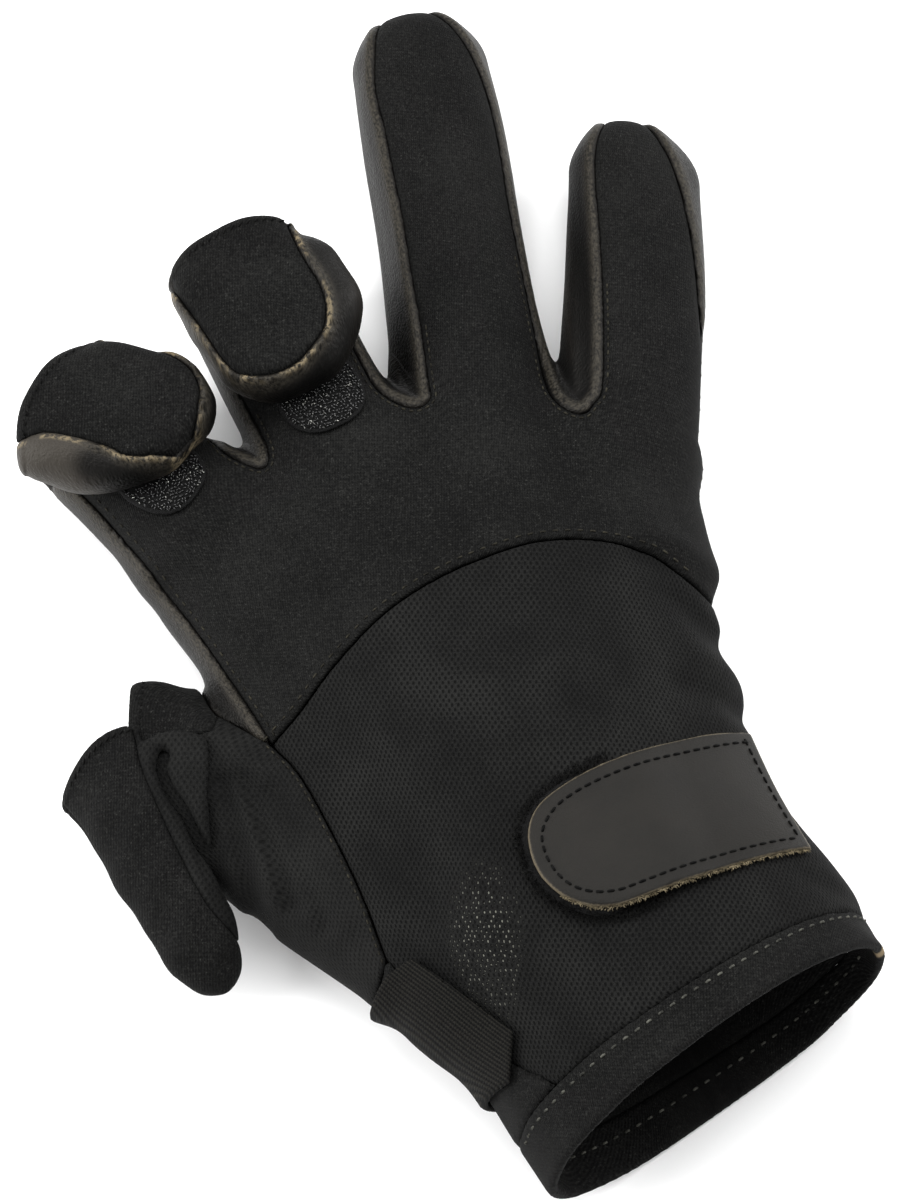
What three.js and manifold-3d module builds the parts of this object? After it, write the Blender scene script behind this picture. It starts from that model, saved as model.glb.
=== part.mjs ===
// Right-hand neoprene glove lying palm down, with the index, middle and thumb tips folded back.
// Millimetres. +X points to the little finger, +Y to the fingertips, +Z out of the back of the hand.
// The origin is on the flat underside of the palm.

import * as THREE from "three";
import { mergeVertices } from "three/addons/utils/BufferGeometryUtils.js";
import Module from "manifold-3d";

const wasm = await Module();
wasm.setup();

// Driving dimensions

const WALL = 2.2; // thickness of the neoprene and leather walls
const SEAM_GAP = 0.3; // gap between two pieces that are sewn together
const WEDGE_REACH = 4; // a wedge over a finger reaches this far out of the finger
const CROTCH_DEPTH = 3.5; // how far the leather between two fingers reaches into the hand
const HEM_WIDTH = 9.5; // height of the turned hem at the cuff
const WIDEST_LEVEL = 0.42; // height of the hand's widest level, as a share of its top
const PALM_DIP = 1.2; // how far the round palm would sink below the surface it is flattened on
const SIDE_SEAM_Z = 12; // height of the seam along the little finger's side of the hand
const GUSSET_SEAM_Z = 10; // the same, on the thumb's side
const FOURCHETTE_SEAM_Z = 5.5; // height of the seams below the leather between the fingers
const PATCH_BOTTOM = 0.3; // hook and loop patches start this far above the fabric
const PATCH_TOP = 1.4;
const STRAP_BOTTOM = 1.7;
const STRAP_TOP = 3.5;
const TAB_BOTTOM = 0.3;
const TAB_TOP = 1.9;
const HOOD_CLEARANCE = 1.7; // a folded hood lies this far above the fabric, on its hook patch
const HOOD_WALL = 1.8;
const TIP_ROUND = 13; // length over which a closed fingertip is rounded
const OUTER_SIDES = { hand: 28, finger: 16 }; // sides of the sections
const INNER_SIDES = { hand: 20, finger: 12 };
const HOOD_SIDES = 14;
const THUMB_END_X = -71.5; // the thumb's stub is cut off here
const SHORTEST_EDGE = 0.12; // shorter edges, left by cuts, are drawn together
const FAR = 300;
const OVER_ALL = 90; // cutting prisms end well above the glove
const UNDER_ALL = -5;

// Cross-sections of the hand and cuff from the mouth of the cuff to the knuckles.
// skew and rake tilt a section: they shift its points along Y with X and with Z.
// bow pulls the little finger's side of a section back, as the knuckle line curves.
// power sets how square the lower half is: 2 is an ellipse.
const HAND_SECTIONS = [
  { y: -107.6, left: -17, right: 57, top: 46, skew: 0.32, rake: 0.19, bow: 0, power: 2 },
  { y: -97, left: -20.5, right: 55.5, top: 45.5, skew: 0.26, rake: 0.17, bow: 0, power: 2 },
  { y: -84, left: -26, right: 53.5, top: 44, skew: 0.2, rake: 0.12, bow: 0, power: 2.1 },
  { y: -72, left: -34, right: 50.5, top: 43, skew: 0.12, rake: 0.06, bow: 0, power: 2.2 },
  { y: -60, left: -36, right: 48.6, top: 42, skew: 0.05, rake: 0, bow: 0, power: 2.3 },
  { y: -46, left: -36, right: 48.3, top: 41, skew: 0, rake: 0, bow: 0, power: 2.4 },
  { y: -34, left: -40, right: 48.6, top: 39.5, skew: 0, rake: 0, bow: 0, power: 2.5 },
  { y: -19, left: -46, right: 48.2, top: 37, skew: 0, rake: 0, bow: 0, power: 2.7 },
  { y: -8, left: -50, right: 50.6, top: 35, skew: 0, rake: 0, bow: 0, power: 2.8 },
  { y: 4, left: -53, right: 52.8, top: 33, skew: 0, rake: 0, bow: 0.001, power: 2.8 },
  { y: 18, left: -57.5, right: 55.6, top: 30, skew: 0, rake: 0, bow: 0.003, power: 2.8 },
  { y: 30, left: -58, right: 57.6, top: 27.5, skew: 0, rake: 0, bow: 0.005, power: 2.8 },
  { y: 38, left: -52, right: 55, top: 25.5, skew: 0, rake: 0, bow: 0.0065, power: 2.8 },
  { y: 42, left: -44, right: 48, top: 23, skew: 0, rake: 0, bow: 0.0075, power: 2.8 },
];
const BOW_START = 2;
const UPPER_POWER = 2.2; // how square the upper half of the hand is
const FINGER_POWER = 2.3;
const HOOD_POWER = 2.4;
const ROOT_TAPER = 0.62; // size of a finger's form where it begins inside the hand

// Fingers from root to tip or to the open end. lean turns a finger toward +X, bend adds to it at the tip.
// roll lowers the side of the finger that faces the little finger.
// start is the share of the length where the finger's form begins, smaller, inside the hand.
const FINGERS = {
  ring: {
    x: 17.2, y: 39, lean: 9.8, bend: 0, length: 92.5, rootWidth: 14.6, tipWidth: 14.6,
    rootZ: 14, tipZ: 11, rootHeight: 12.5, tipHeight: 10.6, roll: 12, start: -0.45, open: false,
  },
  little: {
    x: 46, y: 28, lean: 24, bend: -9, length: 69, rootWidth: 15, tipWidth: 14,
    rootZ: 13.5, tipZ: 10.5, rootHeight: 12, tipHeight: 10.2, roll: 14, start: -0.45, open: false,
  },
  middle: {
    x: -12.6, y: 38, lean: -8, bend: 0, length: 40, rootWidth: 15.5, tipWidth: 15,
    rootZ: 14.5, tipZ: 13, rootHeight: 12.5, tipHeight: 12, roll: 0, start: -0.45, open: true,
  },
  index: {
    x: -44.5, y: 33, lean: -31, bend: 0, length: 33, rootWidth: 16, tipWidth: 12.5,
    rootZ: 14, tipZ: 13, rootHeight: 12.5, tipHeight: 12, roll: 0, start: -0.45, open: true,
  },
  thumb: {
    x: -22, y: -55, lean: -45, bend: 0, length: 74, rootWidth: 24, tipWidth: 14,
    rootZ: 16, tipZ: 12.5, rootHeight: 16, tipHeight: 12, roll: 0, start: -0.2, open: true,
  },
};

// Seams of the back panel along each finger: the angles where they lie on the finger's section,
// counted from its +X side over the top, and the length that the panel leaves free at the tip.
const FINGER_BACKS = {
  ring: { right: 38, left: 134, tipInset: 3.5 },
  little: { right: 42, left: 128, tipInset: 3.5 },
  middle: { right: 38, left: 142, tipInset: 0 },
  index: { right: 38, left: 142, tipInset: 0 },
};

// Outline of the back panel on the hand, seen from above.
// It dips between the fingers, where leather follows the crotches.
const LONG_SEAM = [[-67, 44], [-61, 31], [-54.5, 18], [-49.5, 3.5], [-46.5, -9], [-43.8, -20]];
const THUMB_SEAM = [[-43.8, -20], [-40.3, -29], [-37.6, -44], [-36, -57], [-35.3, -69]];
const RADIAL_SEAM = [[-35.3, -69], [-30, -80], [-21, -94], [-9, -108]];
const THUMB_CROTCH = [[-58, 12], [-54.2, 4]];
const KNUCKLE_EDGE = [
  [65, 38], [54, 48], [45, 40], [40.5, 33.5], [34.4, 28.6], [30.8, 37], [32.6, 44], [20, 50],
  [8.8, 46], [5.4, 39.2], [1.5, 38.6], [-1.8, 44], [-2.5, 50], [-14, 54], [-26.5, 46], [-30.5, 36.8],
  [-35.5, 42], [-46, 56],
];
const ARC_SEAM = [
  [-43.8, -20], [-31, -12], [-17.5, -3.9], [0, 1.6], [16, 2.8], [32, -1], [41, -6.6], [47, -14], [60, -26],
];

// Trim seen from above
const STRAP = { left: -3.9, upper: -47.5, lower: -76.4, upperRight: 47.6, lowerRight: 50.6, corner: 13 };
const LOOP_PATCH = { left: -5.2, upper: -46.5, lower: -77.6, upperRight: 22, lowerRight: 22, corner: 14 };
const TAB_OUTLINE = [[-31.6, -69.6], [-25.6, -80], [-18.2, -92.4], [-25.5, -99.5], [-44, -94], [-40, -75]];
const INDEX_PATCH = { x: -47.6, y: 41.4, lean: -42, halfLength: 8.4, halfWidth: 8.8 };
const MIDDLE_PATCH = { x: -12, y: 49, lean: -9, halfLength: 9.2, halfWidth: 9.2 };

// Folded hoods as closed-ended tubes. Each runs from the middle of its mouth in the direction heading.
// faceFrom and faceTo are the angles on its section between which the fabric face lies, faceTip is what the
// face leaves free at the closed end, and a positive roll lowers the side that its heading has on the right.
const HOODS = {
  index: {
    x: -67, y: 61.5, heading: 130, length: 33, mouthWidth: 13.4, width: 16, baseZ: 26.5, tipZ: 24,
    height: 14.5, roll: -10, faceFrom: 42, faceTo: 152, faceTip: 4,
  },
  middle: {
    x: -21.6, y: 81, heading: 171, length: 37, mouthWidth: 13, width: 16.4, baseZ: 26.5, tipZ: 25.5,
    height: 15, roll: 12, faceFrom: 30, faceTo: 128, faceTip: 4,
  },
};
const HOOD_ROUND = 0.36; // share of a folded hood's length over which its closed end is rounded
const HOOD_DROP = 1; // a hood's section lies this much lower than on its base line
const HOOD_LIP = 0.86; // past this share of the finger's stub, the hood comes down on its open edge
const THUMB_HOOD = [
  { x: -77.6, y: -10.4, width: 9.6, height: 5.4, z: 19, roll: 34 },
  { x: -75.2, y: -22, width: 10.4, height: 6, z: 19.5, roll: 37 },
  { x: -72.8, y: -34, width: 10.6, height: 6.2, z: 19, roll: 38 },
  { x: -70.4, y: -46, width: 10, height: 6, z: 17, roll: 36 },
  { x: -68.6, y: -55, width: 8, height: 5.4, z: 14.6, roll: 30 },
  { x: -67.9, y: -60, width: 5, height: 4, z: 13, roll: 26 },
  { x: -67.5, y: -62, width: 2.4, height: 2, z: 12.4, roll: 24 },
];
const THUMB_FACE_SEAM = 150; // angles on the hood's section between which the smooth face lies
const THUMB_FACE_EDGE = -8;
const THUMB_HOOD_HEADING = 168;

// Materials

const FABRIC = new THREE.MeshStandardMaterial({ color: 0x232324, roughness: 0.85, metalness: 0 });
const MESH_KNIT = new THREE.MeshStandardMaterial({ color: 0x1d1d1e, roughness: 0.95, metalness: 0 });
const LEATHER = new THREE.MeshStandardMaterial({ color: 0x2a2725, roughness: 0.5, metalness: 0 });
const STRAP_LEATHER = new THREE.MeshStandardMaterial({ color: 0x3c3a36, roughness: 0.55, metalness: 0 });
const HOOK = new THREE.MeshStandardMaterial({ color: 0x151516, roughness: 0.45, metalness: 0 });
const ELASTIC = new THREE.MeshStandardMaterial({ color: 0x272523, roughness: 0.8, metalness: 0 });

// Solids

function toSolid(geometry) {
  geometry.deleteAttribute("normal");
  geometry.deleteAttribute("uv");
  const merged = mergeVertices(geometry, 1e-4);
  return new wasm.Manifold(new wasm.Mesh({
    numProp: 3,
    vertProperties: new Float32Array(merged.attributes.position.array),
    triVerts: new Uint32Array(merged.index.array),
  }));
}

function bodiesBySize(solid) {
  return solid.decompose().sort((a, b) => b.volume() - a.volume());
}

function faceNormal(points, [a, b, c]) {
  const along = points[b].clone().sub(points[a]);
  return along.cross(points[c].clone().sub(points[a]));
}

// Draws the ends of very short edges together, as cuts leave them where two surfaces nearly meet.
// An edge goes only where its ends share two neighbours, so that the skin stays closed.
function dropShortEdges(points, faces, shortest) {
  const facesAt = points.map(() => new Set());
  faces.forEach((face, i) => face.forEach((corner) => facesAt[corner].add(i)));
  const neighbours = (corner) => {
    const around = [...facesAt[corner]].flatMap((i) => faces[i]);
    return new Set(around.filter((n) => n !== corner));
  };
  const closeUp = (keep, drop) => {
    const common = [...neighbours(keep)].filter((n) => neighbours(drop).has(n));
    const moved = [...facesAt[drop]].filter((i) => !faces[i].includes(keep));
    const swap = (face) => face.map((corner) => (corner === drop ? keep : corner));
    const turnsOver = moved.some((i) => {
      const before = faceNormal(points, faces[i]);
      const after = faceNormal(points, swap(faces[i]));
      return before.dot(after) < 0.2 * before.length() * after.length() || after.length() < 1e-4;
    });
    if (common.length !== 2 || turnsOver) return false;
    for (const i of facesAt[drop]) {
      faces[i].forEach((corner) => facesAt[corner].delete(i));
      faces[i] = faces[i].includes(keep) ? null : swap(faces[i]);
      if (faces[i]) faces[i].forEach((corner) => facesAt[corner].add(i));
    }
    return true;
  };
  for (let pass = 0; pass < 4; pass += 1) {
    for (let i = 0; i < faces.length; i += 1) {
      for (let side = 0; side < 3 && faces[i]; side += 1) {
        const a = faces[i][side];
        const b = faces[i][(side + 1) % 3];
        if (points[a].distanceTo(points[b]) < shortest && !closeUp(a, b)) closeUp(b, a);
      }
    }
  }
  return faces.filter(Boolean);
}

function toMesh(name, solid, material) {
  const { numProp, vertProperties, triVerts } = bodiesBySize(solid)[0].getMesh();
  const points = [];
  for (let i = 0; i < vertProperties.length; i += numProp) {
    points.push(new THREE.Vector3().fromArray(vertProperties, i));
  }
  const faces = [];
  for (let i = 0; i < triVerts.length; i += 3) {
    faces.push([...triVerts.subarray(i, i + 3)]);
  }
  const geometry = new THREE.BufferGeometry().setFromPoints(points);
  geometry.setIndex(dropShortEdges(points, faces, SHORTEST_EDGE).flat());
  geometry.computeVertexNormals();
  const mesh = new THREE.Mesh(geometry, material);
  mesh.name = name;
  return mesh;
}

// Joins rings of points into a closed skin, with a fan over each end.
function loft(rings) {
  const sides = rings[0].length;
  const points = rings.flat();
  const last = rings.length - 1;
  const index = [];
  for (let i = 0; i < last; i += 1) {
    for (let j = 0; j < sides; j += 1) {
      const a = i * sides + j;
      const b = i * sides + ((j + 1) % sides);
      index.push(a, a + sides, b + sides);
      index.push(a, b + sides, b);
    }
  }
  const startCentre = points.length;
  for (const ring of [rings[0], rings[last]]) {
    const centre = new THREE.Vector3();
    ring.forEach((point) => centre.addScaledVector(point, 1 / sides));
    points.push(centre);
  }
  for (let j = 0; j < sides; j += 1) {
    const next = (j + 1) % sides;
    index.push(startCentre, j, next);
    index.push(startCentre + 1, last * sides + next, last * sides + j);
  }
  const geometry = new THREE.BufferGeometry().setFromPoints(points);
  geometry.setIndex(index);
  return toSolid(geometry);
}

// Moves each side of a closed outline outward by a distance. The outline turns anticlockwise.
function offsetOutline(points, distance) {
  const count = points.length;
  return points.map(([x, y], i) => {
    const [px, py] = points[(i + count - 1) % count];
    const [nx, ny] = points[(i + 1) % count];
    const before = new THREE.Vector2(y - py, px - x).normalize();
    const after = new THREE.Vector2(ny - y, x - nx).normalize();
    const mean = before.clone().add(after);
    const scale = (2 * distance) / Math.max(mean.lengthSq(), 0.5);
    return [x + mean.x * scale, y + mean.y * scale];
  });
}

function anticlockwise(points) {
  const area = THREE.ShapeUtils.area(points.map(([x, y]) => new THREE.Vector2(x, y)));
  return area > 0 ? points : [...points].reverse();
}

function prism(points, bottom, top, grow = 0) {
  const outline = offsetOutline(anticlockwise(points), grow);
  const shape = new THREE.Shape(outline.map(([x, y]) => new THREE.Vector2(x, y)));
  const geometry = new THREE.ExtrudeGeometry(shape, { depth: top - bottom + 2 * grow, bevelEnabled: false });
  geometry.translate(0, 0, bottom - grow);
  return toSolid(geometry);
}

function above(level) {
  const geometry = new THREE.BoxGeometry(2 * FAR, 2 * FAR, FAR);
  geometry.translate(0, 0, level + FAR / 2);
  return toSolid(geometry);
}

function smooth(points, steps) {
  const curve = new THREE.SplineCurve(points.map(([x, y]) => new THREE.Vector2(x, y)));
  return curve.getPoints(steps).map((point) => [point.x, point.y]);
}

function union(solids) {
  return solids.reduce((whole, solid) => whole.add(solid));
}

// Forms of the hand and fingers

function signedPower(value, exponent) {
  return Math.sign(value) * Math.abs(value) ** exponent;
}

function handRing(section, grow, sides) {
  const centreX = (section.left + section.right) / 2;
  const halfWidth = (section.right - section.left) / 2 + grow;
  const widestZ = section.top * WIDEST_LEVEL;
  const ring = [];
  for (let j = 0; j < sides; j += 1) {
    const angle = (2 * Math.PI * j) / sides;
    const upper = Math.sin(angle) >= 0;
    const power = 2 / (upper ? UPPER_POWER : section.power);
    const height = upper ? section.top - widestZ + grow : widestZ + PALM_DIP + grow;
    const x = centreX + halfWidth * signedPower(Math.cos(angle), power);
    const z = widestZ + height * signedPower(Math.sin(angle), power);
    const bowed = section.bow * Math.max(x - BOW_START, 0) ** 2;
    const y = section.y + section.skew * (x - centreX) + section.rake * (z - section.top / 2) - bowed;
    ring.push(new THREE.Vector3(x, y, z));
  }
  return ring;
}

function handSolid(grow, mouthReach = 0, sides = OUTER_SIDES.hand) {
  const last = HAND_SECTIONS.length - 1;
  const rings = HAND_SECTIONS.map((section, i) => {
    const shift = i === 0 ? -mouthReach : Math.min(grow, 0) * (i >= last - 1 ? 1 : 0);
    return handRing({ ...section, y: section.y + shift }, grow, sides);
  });
  return loft(rings);
}

// The station of a finger at a share of its length: its centre, directions and half-sizes
function fingerStation(finger, share) {
  const steps = 12;
  let x = finger.x;
  let y = finger.y;
  for (let k = 0; k < steps; k += 1) {
    const part = (share * (k + 0.5)) / steps;
    const angle = THREE.MathUtils.degToRad(finger.lean + finger.bend * Math.max(part, 0));
    x += (Math.sin(angle) * finger.length * share) / steps;
    y += (Math.cos(angle) * finger.length * share) / steps;
  }
  const heading = THREE.MathUtils.degToRad(finger.lean + finger.bend * Math.max(share, 0));
  const roll = THREE.MathUtils.degToRad(finger.roll);
  const mix = (from, to) => THREE.MathUtils.lerp(from, to, THREE.MathUtils.clamp(share, 0, 1));
  const side = new THREE.Vector3(Math.cos(heading), -Math.sin(heading), 0);
  return {
    centre: new THREE.Vector3(x, y, mix(finger.rootZ, finger.tipZ)),
    side: side.clone().multiplyScalar(Math.cos(roll)).add(new THREE.Vector3(0, 0, -Math.sin(roll))),
    up: side.clone().multiplyScalar(Math.sin(roll)).add(new THREE.Vector3(0, 0, Math.cos(roll))),
    width: mix(finger.rootWidth, finger.tipWidth),
    height: mix(finger.rootHeight, finger.tipHeight),
  };
}

function sectionRing(station, width, height, sides, power) {
  const ring = [];
  for (let j = 0; j < sides; j += 1) {
    const angle = (2 * Math.PI * j) / sides;
    ring.push(station.centre.clone()
      .addScaledVector(station.side, width * signedPower(Math.cos(angle), power))
      .addScaledVector(station.up, height * signedPower(Math.sin(angle), power)));
  }
  return ring;
}

function fingerSolid(finger, grow, reach = 0, sides = OUTER_SIDES.finger) {
  const roundShare = TIP_ROUND / finger.length;
  const openStations = [finger.start, 0.02, 0.5, 1 + reach / finger.length];
  const closedStations = [finger.start, 0, 0.3, 0.6];
  for (const turn of [0, 0.4, 0.7, 0.9, 0.985]) {
    closedStations.push(1 - roundShare * (1 - turn));
  }
  const stations = finger.open ? openStations : closedStations;
  return loft(stations.map((share) => {
    const rounding = finger.open ? 0 : Math.max((share - 1 + roundShare) / roundShare, 0);
    const station = fingerStation(finger, share + (rounding * grow) / finger.length);
    const shrink = Math.sqrt(1 - rounding * rounding);
    const taper = share < 0 ? ROOT_TAPER : 1;
    const width = (station.width * taper + grow) * shrink;
    const height = (station.height * taper + grow) * shrink ** 0.7;
    return sectionRing(station, width, height, sides, 2 / FINGER_POWER);
  }));
}

function gloveForm(grow, mouthReach, stubReach, sides) {
  const fingers = Object.values(FINGERS).map((finger) => fingerSolid(finger, grow, stubReach, sides.finger));
  return union([handSolid(grow, mouthReach, sides.hand), ...fingers]);
}

function beyondThumbEnd(x) {
  return prism([[x, 40], [x - 60, 40], [x - 60, -70], [x, -70]], -20, 60);
}

const outerForm = gloveForm(0, 0, 0, OUTER_SIDES).intersect(above(0));
const innerForm = gloveForm(-WALL, 6, 4, INNER_SIDES).intersect(above(WALL));
const indexStub = prism([[-110, 30], [-40, 30], [-40, 110], [-110, 110]], -20, 60);
const gloveShell = outerForm.subtract(innerForm).subtract(beyondThumbEnd(THUMB_END_X).subtract(indexStub));

// Regions that the panels are cut from. Each takes a grow distance, which makes the sewn gap.

// A fan in a tube's cross-section, between two angles and from a point on its upright axis.
// span narrows the fan about its middle.
function fanRing(station, { from, to, span, reach, apex }, grow) {
  const middle = (from + to) / 2;
  const rays = [-1, -0.5, 0, 0.5, 1].map((side) => {
    const angle = THREE.MathUtils.degToRad(middle + (side * span * (to - from)) / 2);
    return [Math.cos(angle) * reach, Math.sin(angle) * reach + apex];
  });
  const outline = offsetOutline([[0, apex], ...rays], grow);
  return outline.map(([across, up]) => station.centre.clone()
    .addScaledVector(station.side, across)
    .addScaledVector(station.up, up));
}

// A wedge over a stretch of a finger, between two angles on its section.
// It narrows over the round tip of a closed finger.
function fingerWedge(finger, from, to, startShare, endShare, grow) {
  const reach = finger.rootWidth + WEDGE_REACH;
  const tipStations = [[0.75, 1], [0.3, 0.8], [0.08, 0.5], [0, 0.16]].map(([fromEnd, span]) => (
    { share: endShare - (fromEnd * TIP_ROUND) / finger.length, span: finger.open ? 1 : span }
  ));
  const stations = [
    { share: startShare - grow / finger.length, span: 1 },
    { share: 0.45, span: 1 },
    { share: 0.65, span: 1 },
    ...tipStations,
  ];
  return loft(stations.map(({ share, span }) => (
    fanRing(fingerStation(finger, share), { from, to, span, reach, apex: -1 }, grow)
  )));
}

function backRegion(grow) {
  const outline = [
    ...smooth(LONG_SEAM, 12),
    ...smooth(ARC_SEAM, 16).slice(1),
    [75, -10],
    [75, 30],
    ...KNUCKLE_EDGE,
  ];
  const wedges = Object.entries(FINGER_BACKS).map(([name, back]) => {
    const finger = FINGERS[name];
    const end = finger.open ? 1.15 : 1 - (back.tipInset - grow) / finger.length;
    return fingerWedge(finger, back.right, back.left, 0.02, end, grow);
  });
  return union([prism(outline, SIDE_SEAM_Z, OVER_ALL, grow), ...wedges]);
}

function hemRegion(grow) {
  const mouth = HAND_SECTIONS[0];
  const inward = HEM_WIDTH + grow;
  const rings = [-8, inward].map((along) => handRing({
    ...mouth, y: mouth.y + along, skew: mouth.skew - 0.04 * (along > 0), rake: mouth.rake,
  }, 12, OUTER_SIDES.hand));
  return loft(rings);
}

function wristRegion(grow) {
  const outline = [
    ...smooth(ARC_SEAM, 16).reverse(),
    ...smooth(THUMB_SEAM, 8).slice(1),
    ...smooth(RADIAL_SEAM, 6).slice(1),
    [0, -140],
    [80, -140],
    [80, -30],
  ];
  return prism(outline, SIDE_SEAM_Z, OVER_ALL, grow);
}

// Smooth pad under the thumb, up to its side that faces the index finger
function thumbPadRegion(grow) {
  const wedge = fingerWedge(FINGERS.thumb, -150, 42, 0.42, 1.15, grow);
  const beyondCrotch = [[-53, -7], [-48, -30], [-56, -62], [-110, -70], [-110, 12], ...THUMB_CROTCH];
  return wedge.intersect(prism(beyondCrotch, UNDER_ALL, OVER_ALL, grow));
}

function thumbGussetRegion(grow) {
  const outline = [
    ...THUMB_CROTCH,
    [-53.2, -8.5],
    ...smooth(THUMB_SEAM, 8),
    [-42, -80],
    [-120, -80],
    [-120, 12],
  ];
  return prism(outline, GUSSET_SEAM_Z, OVER_ALL, grow);
}

// Leather between two fingers: the facing sides of both, and the crotch that joins them
function fourchetteRegion(left, right) {
  const axisPoint = (finger, share) => {
    const { centre } = fingerStation(finger, share);
    return [centre.x, centre.y];
  };
  const [leftRoot, rightRoot] = [axisPoint(left, 0.06), axisPoint(right, 0.06)];
  const leftLine = [0.25, 0.6, 1.15].map((share) => axisPoint(left, share));
  const rightLine = [0.25, 0.6, 1.15].map((share) => axisPoint(right, share));
  const base = Math.min(leftRoot[1], rightRoot[1]) - CROTCH_DEPTH;
  const outline = [[leftRoot[0], base], [rightRoot[0], base], ...rightLine, ...leftLine.reverse()];
  return (grow) => prism(outline, FOURCHETTE_SEAM_Z, OVER_ALL, grow);
}

function underWristRegion(grow) {
  const outline = [[-120, -68], [-36, -68], [-10, -62], [20, -60], [80, -62], [80, -160], [-120, -160]];
  return prism(outline, UNDER_ALL, OVER_ALL, grow);
}

// Cuts each region out of what is left of the shell, in order
function cutPanels(shell, regions) {
  let rest = shell;
  const panels = {};
  for (const [name, region] of Object.entries(regions)) {
    panels[name] = rest.intersect(region(0));
    rest = rest.subtract(region(SEAM_GAP));
  }
  return { ...panels, palm_panel: rest };
}

const panels = cutPanels(gloveShell, {
  cuff_hem: hemRegion,
  back_panel: backRegion,
  wrist_panel: wristRegion,
  thumb_pad: thumbPadRegion,
  thumb_gusset: thumbGussetRegion,
  fourchette_index_middle: fourchetteRegion(FINGERS.index, FINGERS.middle),
  fourchette_middle_ring: fourchetteRegion(FINGERS.middle, FINGERS.ring),
  fourchette_ring_little: fourchetteRegion(FINGERS.ring, FINGERS.little),
  under_wrist_panel: underWristRegion,
});

// Trim on the outside of the glove

const ROUND_END_STEPS = 6;
const PATCH_SIDES = 18;
const PATCH_ROUNDNESS = 0.8; // 1 is an ellipse, and less is squarer

function layer(form, bottom, top) {
  return form(top).subtract(form(bottom));
}

const handForm = (grow) => handSolid(grow).intersect(above(0));

function roundEndOutline({ left, upper, lower, upperRight, lowerRight, corner }) {
  const shape = new THREE.Shape();
  shape.moveTo(lowerRight, lower);
  shape.lineTo(upperRight, upper);
  shape.lineTo(left + corner, upper);
  const middle = (upper + lower) / 2;
  shape.absellipse(left + corner, middle, corner, (upper - lower) / 2, Math.PI / 2, 1.5 * Math.PI, false);
  return shape.getPoints(ROUND_END_STEPS).slice(0, -1).map((point) => [point.x, point.y]);
}

function patchOutline({ x, y, lean, halfLength, halfWidth }) {
  const heading = THREE.MathUtils.degToRad(lean);
  const points = [];
  for (let j = 0; j < PATCH_SIDES; j += 1) {
    const angle = (2 * Math.PI * j) / PATCH_SIDES;
    const across = halfWidth * signedPower(Math.cos(angle), PATCH_ROUNDNESS);
    const along = halfLength * signedPower(Math.sin(angle), PATCH_ROUNDNESS);
    points.push([
      x + across * Math.cos(heading) + along * Math.sin(heading),
      y - across * Math.sin(heading) + along * Math.cos(heading),
    ]);
  }
  return points;
}

const strap = layer(handForm, STRAP_BOTTOM, STRAP_TOP).intersect(prism(roundEndOutline(STRAP), 8, OVER_ALL));
const loopPatch = layer(handForm, PATCH_BOTTOM, PATCH_TOP)
  .intersect(prism(roundEndOutline(LOOP_PATCH), 20, OVER_ALL));
const fingerForm = (...names) => (grow) => union([
  handSolid(grow),
  ...names.map((name) => fingerSolid(FINGERS[name], grow)),
]).intersect(above(0));
const elasticTab = layer(fingerForm("thumb"), TAB_BOTTOM, TAB_TOP).intersect(prism(TAB_OUTLINE, 5, OVER_ALL));
const indexPatch = layer(fingerForm("index", "middle"), PATCH_BOTTOM, PATCH_TOP)
  .intersect(prism(patchOutline(INDEX_PATCH), 12, OVER_ALL));
const middlePatch = layer(fingerForm("middle", "index"), PATCH_BOTTOM, PATCH_TOP)
  .intersect(prism(patchOutline(MIDDLE_PATCH), 12, OVER_ALL));

// Folded hoods

function hoodStation(hood, share) {
  const heading = THREE.MathUtils.degToRad(hood.heading);
  const roll = THREE.MathUtils.degToRad(hood.roll);
  const side = new THREE.Vector3(Math.cos(heading), -Math.sin(heading), 0);
  const along = new THREE.Vector3(Math.sin(heading), Math.cos(heading), 0);
  const base = THREE.MathUtils.lerp(hood.baseZ, hood.tipZ, share);
  return {
    centre: new THREE.Vector3(hood.x, hood.y, base + hood.height / 2 - HOOD_DROP)
      .addScaledVector(along, hood.length * share),
    side: side.clone().multiplyScalar(Math.cos(roll)).add(new THREE.Vector3(0, 0, -Math.sin(roll))),
    up: side.clone().multiplyScalar(Math.sin(roll)).add(new THREE.Vector3(0, 0, Math.cos(roll))),
  };
}

function hoodForm(hood, grow, reach) {
  const tipShares = [1, 0.55, 0.25, 0.08, 0.01].map((fromEnd) => 1 - HOOD_ROUND * fromEnd);
  return loft([-reach / hood.length, 0.2, 0.42, ...tipShares].map((share) => {
    const rounding = Math.max((share - 1 + HOOD_ROUND) / HOOD_ROUND, 0);
    const station = hoodStation(hood, share + (rounding * grow) / hood.length);
    const shrink = Math.sqrt(1 - rounding * rounding);
    const spread = THREE.MathUtils.lerp(hood.mouthWidth, hood.width, Math.min(Math.max(share, 0) / 0.4, 1));
    const width = (spread + grow) * shrink;
    const height = (hood.height / 2 + grow) * shrink ** 0.6;
    return sectionRing(station, width, height, HOOD_SIDES, 2 / HOOD_POWER);
  }));
}

function hoodWedge(hood, grow) {
  const tipStations = [[7, 0.92], [2, 0.66], [-grow, 0.3]].map(([fromFaceTip, span]) => (
    { share: 1 - (hood.faceTip + fromFaceTip) / hood.length, span }
  ));
  const stations = [
    { share: -0.2, span: 1 },
    { share: 0.25, span: 1 },
    { share: 0.55, span: 1 },
    ...tipStations,
  ];
  return loft(stations.map(({ share, span }) => {
    const fan = { from: hood.faceFrom, to: hood.faceTo, span, reach: 34, apex: -2 };
    return fanRing(hoodStation(hood, share), fan, grow);
  }));
}

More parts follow.
